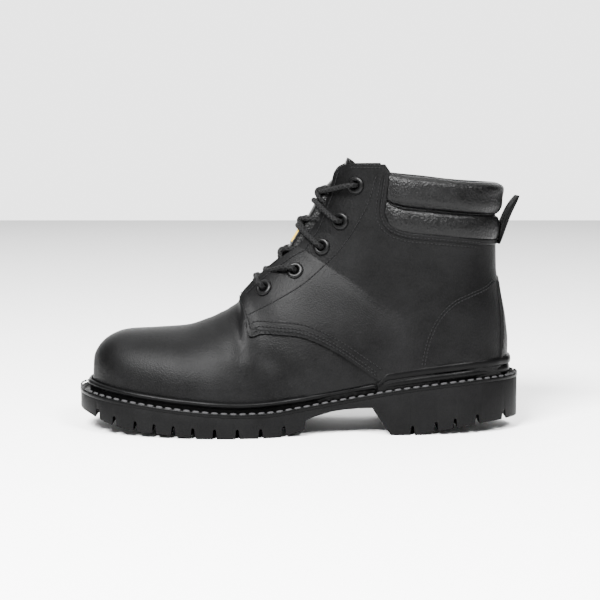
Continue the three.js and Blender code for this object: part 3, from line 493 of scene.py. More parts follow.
STATIONS = fine_sections()
AROUND = 124
heights = (1 - np.cos(np.pi * np.arange(AROUND + 1) / AROUND)) / 2
grid_t, grid_h = np.meshgrid(STATIONS, heights, indexing="ij")
skin = {side: last_point(grid_t, grid_h, side) for side in (-1, 1)}


def grid_normals():
    """Smooth normals of both halves, shared along the front and back lines."""
    normals = {}
    for side in (-1, 1):
        p = skin[side]
        along = np.gradient(p, axis=0)
        up = np.gradient(p, axis=1)
        normals[side] = -side * np.cross(along, up)
    for edge in (0, -1):
        meets = np.linalg.norm(skin[-1][:, edge] - skin[1][:, edge], axis=1) < 0.05
        shared = normals[-1][:, edge] + normals[1][:, edge]
        for side in (-1, 1):
            normals[side][:, edge] = np.where(meets[:, None], shared, normals[side][:, edge])
    for side in (-1, 1):
        n = normals[side]
        n[0] = n[1] * 0.3 + np.array([-1.0, 0, 0]) * np.linalg.norm(n[1], axis=1)[:, None]
        length = np.linalg.norm(n, axis=-1, keepdims=True)
        normals[side] = n / np.maximum(length, 1e-12)
    return normals


skin_normal = grid_normals()
print("skin grid:", skin[-1].shape)


def grown(side, height):
    by = height(skin[side], side) if callable(height) else height
    by = np.broadcast_to(by, skin[side].shape[:2])
    return skin[side] + skin_normal[side] * by[..., None]


def whole_form(name, height):
    outer, inner = grown(-1, height), grown(1, height)
    loops = [np.concatenate([a, b[::-1][1:]]) for a, b in zip(outer, inner)]
    form = loops_mesh(name, loops)
    turn_outwards(form)
    return form


def half_form(name, side, height):
    form = loops_mesh(name, list(grown(side, height)))
    turn_outwards(form)
    return form


# %% [markdown]
# ## Outsole
# The sole is moulded in one: a lugged forefoot, a waisted shank and a heel block with a
# slanted breast. Its plan outline and its side outline are crossed, and the lugs are cut.

# %% Outsole
FORE_GROOVES = [SOLE_LENGTH * s for s in (
    -0.4472, -0.4072, -0.359, -0.3166, -0.2739, -0.2306, -0.1831, -0.1336, -0.0827, -0.0319,
)]
HEEL_GROOVES = [SOLE_LENGTH * s for s in (0.2524, 0.3046, 0.3469, 0.3974, 0.4616)]


def groove(x):
    """A notch with a rounded roof, wider at its foot."""
    face = float(tread_face(x))
    arch = [(0.95 * math.cos(a), 5.6 + 0.95 * math.sin(a)) for a in np.linspace(0, np.pi, 7)]
    return [(x - 2.0, face - 3), (x + 2.0, face - 3)] + [(x + u, face + v) for u, v in arch]


def field_outline(border):
    middle_of = half_widths(0)
    x = np.linspace(TOE_X + border, HEEL_X - border, 60)
    middle, half = middle_of(x)
    half = np.maximum(0.5, half - border)
    lower = np.column_stack([x, middle - half])
    upper = np.column_stack([x, middle + half])[::-1]
    return np.concatenate([lower, upper])


def outsole():
    top_x = np.linspace(TOE_X - 2, HEEL_X + 2, 90)[::-1]
    fore_x = np.linspace(TOE_X - 2, FORE_END, 60)
    heel_x = np.linspace(BREAST_FOOT + 0.4, HEEL_X + 2, 40)
    shank = [(0.0155, 0.73), (0.037, 0.88), (0.073, 1.06), (0.1, 1.13), (0.132, 1.175), (0.1632, 1.19)]
    line = np.concatenate([
        np.column_stack([fore_x, tread_face(fore_x)]),
        [(a * SOLE_LENGTH, r * BALL_THICKNESS - 1) for a, r in shank],
        [(BREAST_TOP, BALL_THICKNESS), (BREAST_FOOT, 0)],
        np.column_stack([heel_x, tread_face(heel_x)]),
        np.column_stack([top_x, welt_top(top_x) - WELT_THICKNESS - 0.06]),
    ])
    sole = plan_prism(sole_outline(0.35, 260), -5, 70, "outsole_rubber")
    cut(sole, side_prism(line), "INTERSECT")
    for x in FORE_GROOVES + HEEL_GROOVES:
        tool = side_prism(groove(x))
        cut(tool, plan_prism(field_outline(24), -12, 62))
        cut(sole, tool)
    middles = [(a + b) / 2 for a, b in zip(FORE_GROOVES[1:-1], FORE_GROOVES[2:])]
    middles += [(a + b) / 2 for a, b in zip(HEEL_GROOVES[:-2], HEEL_GROOVES[1:-1])]
    for x in middles:
        tool = side_prism(groove(x))
        cut(tool, plan_prism(field_outline(26), -12, 62), "INTERSECT")
        cut(sole, tool)
    for start, end in ((TOE_X + 20, FORE_END - 3), (BREAST_FOOT + 7, HEEL_X)):
        x = np.linspace(start, end, 40)
        roof = np.column_stack([x, tread_face(x) + 5])[::-1]
        tool = side_prism(np.concatenate([[(start, -9), (end, -9)], roof]))
        cut(tool, plan_prism(field_outline(23), -13, 63), "INTERSECT")
        cut(tool, plan_prism(field_outline(27), -14, 64))
        cut(sole, tool)
    finish_modifier(
        sole, "BEVEL", width=0.45 * MM, segments=2, limit_method="ANGLE", angle_limit=math.radians(40)
    )
    return smooth(sole, 40)


sole = outsole()
print("outsole:", len(sole.data.polygons), "faces,", len(FORE_GROOVES + HEEL_GROOVES), "grooves")

# %% [markdown]
# ## Welt and rand
# The welt is stitched down round the whole sole. Along the vamp it carries a raised bead that
# keeps water out, and round the heel a rand stands on it.

# %% Foot of the upper
def feather_loop(out, rise=2.0):
    """The foot of the upper seen from above, as an even closed line, with the outward direction at each
    point. The argument out is not used.
    """
    t = STATIONS[(STATIONS > 0) & (STATIONS < 18.8)]
    loops = []
    for side in (-1, 1):
        x = last_point(t, np.zeros_like(t), side)
        z = welt_top(x[:, 0]) + rise
        h = np.full_like(t, 0.02)
        for _ in range(12):
            p = last_point(t, h, side)
            h = np.clip(h + (z - p[:, 2]) / 120, 0, 0.5)
        loops.append(last_point(t, h, side)[:, :2])
    line = np.concatenate([loops[0], loops[1][::-1]])
    line = evenly(line, 420, closed=True)
    along = np.roll(line, -2, 0) - np.roll(line, 2, 0)
    along /= np.linalg.norm(along, axis=1)[:, None]
    return line, np.stack([along[:, 1], -along[:, 0]], 1)


def edge_reach(line, outward, edge):
    """How far each point can go outwards before it meets the sole's edge."""
    reach = np.empty(len(line))
    a, b = edge, np.roll(edge, -1, 0)
    for k, (p, d) in enumerate(zip(line, outward)):
        ab = b - a
        den = d[0] * ab[:, 1] - d[1] * ab[:, 0]
        den = np.where(np.abs(den) < 1e-9, 1e-9, den)
        ap = a - p
        s = (ap[:, 0] * ab[:, 1] - ap[:, 1] * ab[:, 0]) / den
        u = (ap[:, 0] * d[1] - ap[:, 1] * d[0]) / den
        hit = s[(u >= -1e-6) & (u <= 1 + 1e-6) & (s > 0)]
        reach[k] = hit.min() if len(hit) else 6.0
    return reach


foot_line, foot_out = feather_loop(0)
reach = edge_reach(foot_line, foot_out, sole_outline(0.0, 600))
reach = np.convolve(np.tile(reach, 3), np.ones(5) / 5, "same")[len(reach) : 2 * len(reach)]


print("room for the welt:", round(float(reach.min()), 1), "to", round(float(reach.max()), 1), "mm")


# %% Welt
def welt():
    """The strip, its stitching channel and the bead, which fades out where the rand starts."""
    x = foot_line[:, 0]
    has_bead = 1 / (1 + np.exp((x - (RAND_START - 0.2)) / 0.35))
    bead = 0.25 + (BEAD_HEIGHT - 0.25) * has_bead
    loops = []
    for k in range(len(foot_line)):
        r, b = reach[k], bead[k]
        top = min(3.4, r - 2.9)
        channel = r - 2.5
        profile = [
            (-4.5, -WELT_THICKNESS), (r - 0.12, -WELT_THICKNESS), (r, -WELT_THICKNESS + 0.12),
            (r, -0.5), (r - 0.3, -0.05), (r - 0.8, 0.1), (r - 1.6, -0.1), (channel, -1.7),
            (top - 0.2, -1.9), (top - 1.3, -1.5), (top - 1.35, b * 0.34), (top - 0.9, b * 0.44),
            (top - 0.15, b * 0.55), (top + 0.05, b * 0.7), (top - 0.2, b * 0.86),
            (top - 0.9, b * 0.98), (1.3, b), (0.35, b * 0.86),
            (0.25, 0.3), (-4.5, 0.25),
        ]
        z0 = float(welt_top(x[k]))
        loops.append(np.array([(*(foot_line[k] + foot_out[k] * o), z0 + z) for o, z in profile]))
    piece = loops_mesh("welt_strip", loops, closed=True)
    turn_outwards(piece)
    return smooth(piece, 50)


# %% [markdown]
# The rand is one moulded band with a lip and a crease along its middle. It starts low at the
# waist and rises to its full height over a few millimetres.

# %% Rand
def rand():
    x = foot_line[:, 0]
    keep = np.where(x > RAND_START + 0.5)[0]
    start = keep[np.argmax(np.diff(np.concatenate([[keep[0] - 2], keep])) > 1)]
    order = [(start + k) % len(x) for k in range(len(keep))]
    loops = []
    for n, k in enumerate(order):
        ends = min(n, len(order) - 1 - n)
        rise = RAND_HEIGHT * min(1.0, 0.52 + ends / 8)
        z0 = float(welt_top(x[k]))
        base = QUARTER_STEP + GAP
        foot = min(2.7, reach[k] - 2.6 - base)
        lip = min(3.3, max(foot, 0.8) + 0.6)
        tick = 0.3 if n % 2 else 0.0
        profile = [
            (base, -1.5), (base + foot - 1.2, -1.5), (base + foot - 1.25, 0.12 * rise),
            (base + foot - 0.1, 0.2 * rise), (base + foot - 0.1, 0.32 * rise),
            (base + foot - 0.35, 0.46 * rise), (base + foot - 1.2 - tick, 0.515 * rise),
            (base + lip - 0.75, 0.56 * rise), (base + lip - 0.2, 0.63 * rise),
            (base + lip, 0.76 * rise), (base + lip - 0.15, 0.88 * rise),
            (base + lip - 0.8, 0.965 * rise), (base + lip - 1.8, rise), (base + 0.2, 0.98 * rise),
        ]
        loops.append(np.array([(*(foot_line[k] + foot_out[k] * o), z0 + z) for o, z in profile]))
    piece = loops_mesh("heel_rand_band", loops)
    turn_outwards(piece)
    return smooth(piece, 50)


welt_piece = welt()
rand_piece = rand()
print("welt:", len(welt_piece.data.polygons), "faces; rand:", len(rand_piece.data.polygons), "faces")

# %% [markdown]
# ## Insole
# The insole lies on the welt inside the upper. It could be drawn as a flat outline, but a
# slice of the last, a wall smaller all round, fits the upper at once.

# %% Insole
INSOLE_THICKNESS = 3.2


def insole():
    piece = whole_form("insole_felt", -WALL - 2 * GAP - 0.02)
    cut(piece, welt_band(GAP, GAP + INSOLE_THICKNESS), "INTERSECT")
    return smooth(piece, 40)


insole_piece = insole()
print("insole:", len(insole_piece.data.polygons), "faces")

# %% [markdown]
# ## Vamp, quarters and backstay
# The vamp is the plain front. The quarters lap over it with a rounded, stitched edge, and a
# narrow stay covers the seam at the back.

# %% Leather relief
def rolled(distance, reach_mm=1.3):
    """A cut edge of leather, rounded down over reach_mm."""
    u = np.clip(distance / reach_mm, 0, 1)
    return np.sqrt(np.clip(1 - (1 - u) ** 2, 0, 1))


def wave(p, scale, seed):
    """Slow, uneven relief from a few summed waves."""
    local = np.random.default_rng(seed)
    total = np.zeros(p.shape[:-1])
    for _ in range(7):
        k = local.normal(size=3)
        k *= local.uniform(0.6, 1.5) / np.linalg.norm(k)
        total += np.sin(p @ k * (2 * np.pi / scale) + local.uniform(0, 6.28))
    return total / 7


CREASES = [
    # along a line in side view: points, width, depth
    ([(-51, 82), (-47, 74), (-42, 66), (-38, 56)], 4.5, 0.32),
    ([(-60, 78), (-56, 70), (-50, 60)], 4.5, 0.25),
    ([(-36, 62), (-28, 54), (-16, 50)], 5.0, 0.28),
    ([(-30, 57), (-14, 44), (4, 40)], 6.0, 0.22),
    ([(14, 90), (36, 84), (60, 86), (84, 94)], 11, 0.3),
    ([(34, 112), (56, 107), (84, 113), (112, 120)], 12, 0.34),
    ([(60, 124), (86, 119), (114, 124)], 8, 0.24),
]


def creased(p, side):
    total = np.zeros(p.shape[:-1])
    for points, width, depth in CREASES:
        d = line_distance(p[..., 0], p[..., 2], fair_line(points))
        total -= depth * np.exp(-((d / width) ** 2))
        total += 0.5 * depth * np.exp(-(((d - 1.7 * width) / width) ** 2))
    return total


def vamp_height(p, side):
    return 0.22 * wave(p, 42, 3 + side) + creased(p, side)


QUARTER_EDGE = np.concatenate([
    fair_line([(-31, 106), (-35.5, 101), (-39.3, 96.5), (-41.2, 92)], per_span=5),
    QUARTER_FRONT[QUARTER_FRONT[:, 1] < 89],
])


def quarter_height(p, side):
    edge = line_distance(p[..., 0], p[..., 2], QUARTER_EDGE)
    step = QUARTER_STEP * (0.5 + 0.5 * rolled(edge))
    return step + 0.25 * wave(p, 38, 5 + side) + creased(p, side)


# %% [markdown]
# Three knives shape every piece of the upper: the slot of the throat, the collar's scoop and
# the rounded top of the facing.

# %% Knives
def throat_prism(start=SLOT_START):
    line = fair_line(THROAT, per_span=4)
    fade = np.linspace(0, 8, len(line))
    inward = np.column_stack([line[:, 0] + 15 - fade, line[:, 1] - 17 + fade])[::-1]
    outward = np.column_stack([line[:, 0] - 18, line[:, 1] + 12])
    keep_out = outward[outward[:, 0] > start - 25][3:]
    inward = inward[inward[:, 0] > start]
    points = np.concatenate([
        [(start, THROAT[0, 1] + 30)], keep_out, inward, [(start, THROAT[0, 1] - 14)],
    ])
    half = THROAT_WIDTH / 2
    return side_prism(points, RIDGE_LEAN - half, RIDGE_LEAN + half)


def collar_prism():
    seam = fair_line(PAD_SEAM, per_span=6)
    points = np.concatenate([
        [(PAD_FRONT + FRONT_SLANT + 0.6, ABOVE), (PAD_FRONT + FRONT_SLANT - 0.4, 180),
         (PAD_FRONT - 0.4, seam[0, 1])], seam - [0, 0.15],
        [(HEEL_X + 20, seam[-1, 1] - 1), (HEEL_X + 20, ABOVE)],
    ])
    return side_prism(points)


def top_prism():
    corner = place([(0.553, 0.9), (0.5745, 0.925), (0.585, 0.957), (0.598, 0.986), (0.6145, 1.0)])
    corner[0] -= [15, 5]
    corner[1] -= [3, 0]
    curve = fair_line(corner, per_span=6)
    return side_prism(np.concatenate([
        [(TOE_X, ABOVE), (TOE_X, SHAFT_HEIGHT + 30)], curve,
        [(FACING_BACK, SHAFT_HEIGHT), (PAD_FRONT + FRONT_SLANT + 0.5, 177), (64, 170), (HEEL_X + 9, 170),
         (HEEL_X + 9, ABOVE)],
    ]))


# %% Eyelet places
def eyelet_frame(place_xz, side):
    """The place on the quarter's face, and the way out of it."""
    t, h = place_at(*place_xz)
    out = last_normal(t, h, side)
    at = last_point(t, h, side)
    return at + out * float(quarter_height(at, side)), out


EYELETS = [(i, side, *eyelet_frame(p, side)) for i, p in enumerate(EYELET_PLACES) for side in (-1, 1)]


def hole_tool(at, out, radius=3.3, depth=9):
    bpy.ops.mesh.primitive_cylinder_add(vertices=24, radius=radius * MM, depth=2 * depth * MM)
    tool = bpy.context.object
    turn = Vector(out).to_track_quat("Z", "Y").to_matrix().to_4x4()
    tool.data.transform(Matrix.Translation(Vector(at) * MM) @ turn)
    return tool


# %% [markdown]
# Each pattern piece is a thick skin less what lies inside it, and then the knives go through.
# The quarters also get their eyelet holes.

# %% Leather pieces
def cut_common(piece, throat_start=SLOT_START):
    cut(piece, welt_band(-60, GAP))
    cut(piece, throat_prism(throat_start))
    cut(piece, collar_prism())
    cut(piece, top_prism())


def vamp():
    piece = whole_form("vamp_leather", vamp_height)
    cut(piece, whole_form("inside", -WALL))
    behind = QUARTER_FRONT + [6, 7]
    keep = np.concatenate([
        [(TOE_X - 5, BELOW), (TOE_X - 5, ABOVE), (behind[0, 0], ABOVE)], behind,
        [(behind[-1, 0], BELOW)],
    ])
    cut(piece, side_prism(keep), "INTERSECT")
    cut_common(piece)
    return smooth(piece)


def quarter(side):
    name = "quarter_outer" if side < 0 else "quarter_inner"
    piece = half_form(name, side, quarter_height)
    region = np.concatenate([
        QUARTER_EDGE,
        [(QUARTER_EDGE[-1, 0], BELOW), (HEEL_X + 9, BELOW), (HEEL_X + 9, ABOVE),
         (QUARTER_EDGE[0, 0], ABOVE)],
    ])
    cut(piece, side_prism(region), "INTERSECT")
    cut(piece, whole_form("inside", -WALL + 0.7))
    cut_common(piece, SLOT_START - 6)
    for _, s, at, out in EYELETS:
        if s == side:
            cut(piece, hole_tool(at, out))
    return smooth(piece)


def backstay():
    piece = whole_form("backstay_strip", QUARTER_STEP + STAY_STEP)
    foot = float(welt_top(HEEL_X)) + 0.5
    curve = fair_line([(21, foot - 14), (20, foot + 20), (10, 103)], per_span=8)
    outline = np.concatenate([curve, [(0, 105.5)], curve[::-1] * [-1, 1]])
    n = len(outline)
    back = np.column_stack([np.full(n, HEEL_X + 9), outline])
    tool = loops_mesh("cutter", [back - [54, 0, 0], back])
    turn_outwards(tool)
    cut(piece, tool, "INTERSECT")
    cut(piece, whole_form("inside", QUARTER_STEP - 0.6))
    cut(piece, welt_band(-60, RAND_HEIGHT - 3))
    return smooth(piece)


vamp_piece = vamp()
quarters = [quarter(-1), quarter(1)]
stay_piece = backstay()
for piece in (vamp_piece, *quarters, stay_piece):
    print(piece.name, len(piece.data.polygons), "faces")

# %% [markdown]
# ## Collar pad
# Foam under soft leather makes two plump rolls with a groove between them. Loops of the
# profile are skinned from one facing round the back to the other.

# %% Collar pad
PAD_ROWS = [
    (0, 0.3), (0.05, 1.9), (0.2, 2.8), (0.35, 2.1), (0.43, -0.5), (0.5, 2.3), (0.66, 4.2),
    (0.84, 3.9), (0.96, 2.2), (1, -1.3), (0.95, -4.4), (0.82, -6), (0.45, -6), (0, -6),
]


def pad_points(share, at, proud, side):
    """Points on the pad: share runs from the back to the facing, at from the seam to the top."""
    share, at, proud = np.broadcast_arrays(*(np.asarray(v, float) for v in (share, at, proud)))
    low, high = np.full(share.shape, 18.0), np.full(share.shape, float(LAST_SECTION))

    def height(t):
        fx, rx = section_curves[0](t), section_curves[2](t)
        return share * (PAD_FRONT + FRONT_SLANT * np.clip(at, 0, 1) - fx) / (rx - fx)

    for _ in range(34):
        t = (low + high) / 2
        p = last_point(t, height(t), side)
        target = seam_height(p[..., 0]) * (1 - at) + pad_top(p[..., 0]) * at
        short = p[..., 2] < target
        low, high = np.where(short, t, low), np.where(short, high, t)
    h = height(low)
    plump = 1.5 * np.clip(1 - share / 0.35, 0, 1) * np.exp(-(((at - 0.9) / 0.12) ** 2)) * (proud > 0)
    proud = proud + plump
    fade = np.where(proud > 0, np.minimum(1, 0.45 + 4 * (1 - share)), 1)
    by = QUARTER_STEP * np.where(at > 0.97, 0.5, 1) + proud * fade
    return last_point(low, h, side) + last_normal(low, np.maximum(h, 0.012), side) * by[..., None]


def collar_pad():
    profile = fair_line(PAD_ROWS, closed=True, per_span=6)
    shares = 1 - np.linspace(0, 1, 70) ** 0.8 * 0.985
    loops = []
    for side, order in ((-1, shares), (1, shares[::-1])):
        points = pad_points(order[:, None], profile[None, :, 0], profile[None, :, 1], side)
        bumps = 0.28 * wave(points, 17, 11) + 0.16 * wave(points, 8, 12)
        outside = np.clip(profile[:, 1] / 2, 0, 1)[None, :]
        away = np.clip(1 - order, 0.02, 0.6)[:, None] * np.ones(points.shape[:2])
        normal = last_normal(np.full(points.shape[:2], 25.0), away, side)
        points = points + normal * (bumps * outside)[..., None]
        loops += list(points)
    piece = loops_mesh("collar_padding", loops)
    turn_outwards(piece)
    return smooth(piece, 60)


pad_piece = collar_pad()
print("collar pad:", len(pad_piece.data.polygons), "faces")

# %% [markdown]
# ## Tongue
# The tongue arches between the facings. It is skinned from the same profile as the solid and
# then smoothed.

# %% Tongue
TONGUE = place([
    (0.329, 0.384), (0.371, 0.447), (0.414, 0.542), (0.463, 0.629), (0.499, 0.719),
    (0.5265, 0.794), (0.544, 0.848), (0.563, 0.9), (0.594, 0.955), (0.636, 1.013),
])
TONGUE_WING = 20.0
TONGUE_THICKNESS = 2.8
TIP_LEVEL = 184.0
tongue_middle = np.full(len(TONGUE), RIDGE_LEAN)
tongue_line = evenly(fair_line(np.column_stack([TONGUE[:, 0], tongue_middle, TONGUE[:, 1]])), 400)
tongue_along = np.gradient(tongue_line, axis=0)
tongue_along /= np.linalg.norm(tongue_along, axis=1)[:, None]
tongue_out = np.column_stack([-tongue_along[:, 2], 0 * tongue_along[:, 0], tongue_along[:, 0]])


# %% Under the facings
def off_ridge(t, distance, side):
    """Where each section lies a given distance sideways from the front line."""
    low, high = section_curves[7](t), np.ones_like(t)
    for _ in range(24):
        h = (low + high) / 2
        far = np.abs(last_point(t, h, side)[:, 1] - RIDGE_LEAN) > distance
        low, high = np.where(far, h, low), np.where(far, high, h)
    return low


def ridge_line(y):
    t = np.arange(7.5, LAST_SECTION, 0.25)
    side = -1 if y < 0 else 1
    return last_point(t, off_ridge(t, abs(y), side), side)


ridge_lines = {y: ridge_line(y) for y in (-20, -16, -12, -6, 0, 6, 12, 16, 20)}


def depth_to(k, y):
    """How far the upper's skin lies inside the tongue's line, beside its point k."""
    at, along, out = tongue_line[k], tongue_along[k], tongue_out[k]
    line = ridge_lines[y]
    s = (line - at) @ along
    hits = np.where(s[:-1] * s[1:] <= 0)[0]
    if len(hits) == 0:
        return 0.0
    i = hits[-1]
    hit = line[i] + (line[i + 1] - line[i]) * s[i] / (s[i] - s[i + 1])
    return float(-(hit - at) @ out)


# %% Tongue piece
def tongue():
    half, wing, thick = THROAT_WIDTH / 2 - GAP, TONGUE_WING, TONGUE_THICKNESS
    under = WALL + GAP + 0.8
    loops = []
    rows = np.linspace(0, len(tongue_line) - 1, 56).astype(int).tolist()
    for k in [0, 1, *rows[1:-1], rows[-1] - 1, rows[-1]]:
        free = float(np.clip((tongue_line[k][0] - SLOT_START - 0.4) / 4.5, 0, 1))
        free = free * free * (3 - 2 * free)
        sides = []
        for sign in (1, -1):
            b = {}
            for y in (0, 6, 12, 16, 20):
                b[y] = depth_to(k, sign * y) + under * (1.2 + 1.55 * (y / 20) ** 3)
            shoulder = max(b[12], 1.2)
            sink = 2.4 * math.exp(-(((tongue_line[k][2] - 107) / 13) ** 2))
            risen = [0, 0.35, min(shoulder * 0.6, 1.5), min(shoulder * 0.85, 3.6), shoulder - 0.5]
            risen = [min(v + sink, b[12]) for v in risen]
            sunk = [b[0], b[6], b[12] - 0.6, b[12] - 0.2, b[12]]
            top_z = [free * r + (1 - free) * q for r, q in zip(risen, sunk)]
            top = [(half * u, z) for u, z in zip((0, 0.45, 0.78, 0.94, 0.97), top_z)]
            top.append((half * 1.12, max(b[12], b[16] - 0.6)))
            top += [(wing * 0.93, b[20] + 0.5), (wing, b[20] + 1.9)]
            inner = [
                (wing - 0.3, b[20] + 1.4 + thick), (wing * 0.84, b[16] * 0.45 + b[20] * 0.55 + thick),
                (half * 0.86, shoulder + thick + 1.6), (half * 0.74, top[4][1] + thick * 0.6),
                (half * 0.55, top[2][1] + thick), (0, top[0][1] + thick),
            ]
            row = np.array(top + inner)
            points = tongue_line[k] - tongue_out[k] * row[:, 1:]
            points[:, 1] += sign * row[:, 0]
            over = np.maximum(points[:, 2] - TIP_LEVEL, 0)
            points[:, 2] += 5 * np.tanh(over / 8) - over
            sides.append(points)
        loops.append(np.concatenate([sides[0], sides[1][1:-1][::-1]]))
    piece = loops_mesh("tongue_leather", loops)
    turn_outwards(piece)
    finish_modifier(piece, "SUBSURF", levels=2, render_levels=2)
    return smooth(piece, 60)


tongue_piece = tongue()
print("tongue:", len(tongue_piece.data.polygons), "faces")

# %% [markdown]
# A plain woven patch is sewn on the tongue. It is laid on by casting rays at the tongue, so
# that it follows its arch.

# %% Tongue patch
def crown_at(share):
    """The tongue line's point at a share of the upper's height."""
    return int(np.argmin(np.abs(tongue_line[:, 2] - (BALL_THICKNESS + share * UPPER_HEIGHT))))


def on_tongue(k, y):
    start = Vector(tongue_line[k] + tongue_out[k] * 20 + [0, y, 0]) * MM
    hit, at, normal, _ = tongue_piece.ray_cast(start, Vector(-tongue_out[k]))
    return np.array(at) / MM, np.array(normal)


def tongue_patch(name, low, high, half, lift):
    ks = [crown_at((z - BALL_THICKNESS) / UPPER_HEIGHT) for z in np.linspace(low, high, 12)]
    ys = np.linspace(-half, half, 15)
    upper_face, lower_face = [], []
    for k in ks:
        for y in ys:
            at, normal = on_tongue(k, y)
            upper_face.append(at + normal * lift)
            lower_face.append(at - normal * 0.3)
    n, m = len(ks), len(ys)
    faces = []
    for i in range(n - 1):
        for j in range(m - 1):
            a = i * m + j
            faces.append([a, a + 1, a + m + 1, a + m])
            faces.append([n * m + a, n * m + a + m, n * m + a + m + 1, n * m + a + 1])
    ring = list(range(m)) + [i * m + m - 1 for i in range(1, n)]
    ring += [(n - 1) * m + j for j in range(m - 2, -1, -1)] + [i * m for i in range(n - 2, 0, -1)]
    for a, b in zip(ring, ring[1:] + ring[:1]):
        faces.append([a, b, n * m + b, n * m + a])
    piece = mesh_object(name, np.array(upper_face + lower_face), faces)
    turn_outwards(piece)
    return smooth(piece, 50)


patch_pieces = [
    tongue_patch("patch_edge", 128.5, 141.5, 8.5, 0.5),
    tongue_patch("patch_face", 129.7, 140.3, 7.3, 0.75),
]
print("patch:", [len(piece.data.polygons) for piece in patch_pieces], "faces")

# %% [markdown]
# ## Pull loop
# A strap is folded double, stitched to the back seam and leans out at the top. Its section
# has a fold along each edge, so loops of that section are skinned from the foot to the tip.

# %% Pull loop
STRAP_HALF = 10.0
PAD_CLEARANCE = 0.25


def pull_loop():
    """Rows hold height, inner face and outer face. The inner face keeps clear of the pad."""
    rows = [
        (128.2, 137.9, 139.0), (133, 138.7, 140.9), (138, 139.3, 142.6), (143, 140.4, 144.4),
        (148, 142.4, 146.3), (153.5, 145.1, 148.8), (158.3, 148.4, 151.0), (161.4, 151.2, 152.2),
    ]
    pad_back = [pad_points(0.015, a, p, 1) for a, p in fair_line(PAD_ROWS[:9], per_span=6)]
    pad_x = through_rows([float(p[2]) for p in pad_back[:36]], [float(p[0]) for p in pad_back[:36]])
    loops = []
    for z, near, far in fair_line(rows, per_span=5):
        near = max(near, float(pad_x(z)) + PAD_CLEARANCE) if z < 150 else near
        far = max(far, near + 1.0)
        w = STRAP_HALF
        mid, fold = (near + far) / 2, min(0.9, (far - near) * 0.2)
        loops.append(np.array([
            (near, -w + 0.5, z), (near + fold, -w, z), (mid, -w + 1.3, z), (far - fold, -w, z),
            (far, -w + 0.5, z), (far + 0.15, 0, z), (far, w - 0.5, z), (far - fold, w, z),
            (mid, w - 1.3, z), (near + fold, w, z), (near, w - 0.5, z), (near, 0, z),
        ]))
    piece = loops_mesh("pull_strap", loops)
    turn_outwards(piece)
    return smooth(piece, 40)


loop_piece = pull_loop()
print("pull loop:", len(loop_piece.data.polygons), "faces")

# %% [markdown]
# ## Eyelets
# Each eyelet is a rolled metal ring pressed through the facing. A torus, flattened a little,
# is already that shape.

# %% Eyelets
def eyelet(i, side, at, out):
    bpy.ops.mesh.primitive_torus_add(
        major_radius=4.25 * MM, minor_radius=1.75 * MM, major_segments=44, minor_segments=14
    )
    ring = bpy.context.object
    ring.name = f"ring_{'outer' if side < 0 else 'inner'}_{i + 1}"
    turn = Vector(out).to_track_quat("Z", "Y").to_matrix().to_4x4()
    sit = Matrix.Translation((Vector(at) + Vector(out) * 0.5) * MM)
    ring.data.transform(sit @ turn @ Matrix.Diagonal((1, 1, 0.7, 1)))
    return smooth(ring, 60)


rings = [eyelet(*e) for e in EYELETS]
print("eyelets:", len(rings))

# %% [markdown]
# ## Lace
# The lace is drawn as thirteen runs of one round cord: a bar over the tongue for each pair of
# eyelets, and two slants that cross under the facings from one pair to the next. A single
# lace has four runs fewer. The runs follow a short list of given places.

# %% Lace route
# each bar's crown: share of the upper's height, and lift off the tongue
LACE_ROWS = [(0.522, 1.2), (0.558, -1.0), (0.735, 0.3), (0.843, -0.4), (0.887, -0.8)]
# each strand under the facings: where it leaves one side and reaches the other
UNDER_ROWS = [(0.5, 0.53), (0.615, 0.65), (0.742, 0.775), (0.862, 0.9)]
UNDER_LIFTS = {-1: (-2.4, -1.6, -0.2, -0.6), 1: (-0.4, 0.4, 1.6, 0.8)}
LACE_SIDES = 14


def tube(line, radius, around=LACE_SIDES):
    along = np.gradient(line, axis=0)
    along /= np.linalg.norm(along, axis=1)[:, None]
    normal = np.cross(along[0], [0.3, 0.2, 1])
    loops = []
    for p, d in zip(line, along):
        normal = normal - (normal @ d) * d
        normal /= np.linalg.norm(normal)
        other = np.cross(d, normal)
        a = 2 * np.pi * np.arange(around) / around
        loops.append(p + radius * (np.cos(a)[:, None] * normal + np.sin(a)[:, None] * other))
    return loops


def lace_bar(i):
    share, lift = LACE_ROWS[i]
    k = crown_at(share)
    top = tongue_line[k] + tongue_out[k] * (LACE_RADIUS + lift)
    halves = []
    for side in (-1, 1):
        _, _, at, out = EYELETS[2 * i + (0 if side < 0 else 1)]
        shoulder = top - tongue_out[k] * 1.3
        shoulder[1] += side * THROAT_WIDTH * 0.4
        towards = shoulder - at
        towards = towards - (towards @ out) * out
        towards /= np.linalg.norm(towards)
        steps = [(0, -1.4), (0, 2.2), (0.5, 3.8), (2.2, 5.1), (5, 5.4)]
        halves.append([at + towards * a + out * u for a, u in steps] + [shoulder])
    route = halves[0] + [top] + halves[1][::-1]
    return evenly(fair_line(route, per_span=10), step=0.7)


def lace_under(i, side):
    """Under the facings, from one eyelet to the next on the other side."""
    _, _, start, out_a = EYELETS[2 * i + (0 if side < 0 else 1)]
    _, _, end, out_b = EYELETS[2 * (i + 1) + (1 if side < 0 else 0)]
    low, high = UNDER_ROWS[i]
    k = crown_at((low + high) / 2)
    lift = LACE_RADIUS + UNDER_LIFTS[side][i]
    top = tongue_line[k] + tongue_out[k] * lift
    a, b = (
        tongue_line[crown_at(row)] + np.array([0, y * 9.6, 0]) + tongue_out[k] * (LACE_RADIUS - 2.2)
        for row, y in ((low, side), (high, -side))
    )
    route = [start + out_a * 0.3, start - out_a * 2.6]
    route += [start + (a - start) * 0.45 - out_a * 4.6, a, top, b]
    route += [end + (b - end) * 0.45 - out_b * 4.6, end - out_b * 2.6, end + out_b * 0.3]
    return evenly(fair_line(route, per_span=10), step=0.8)


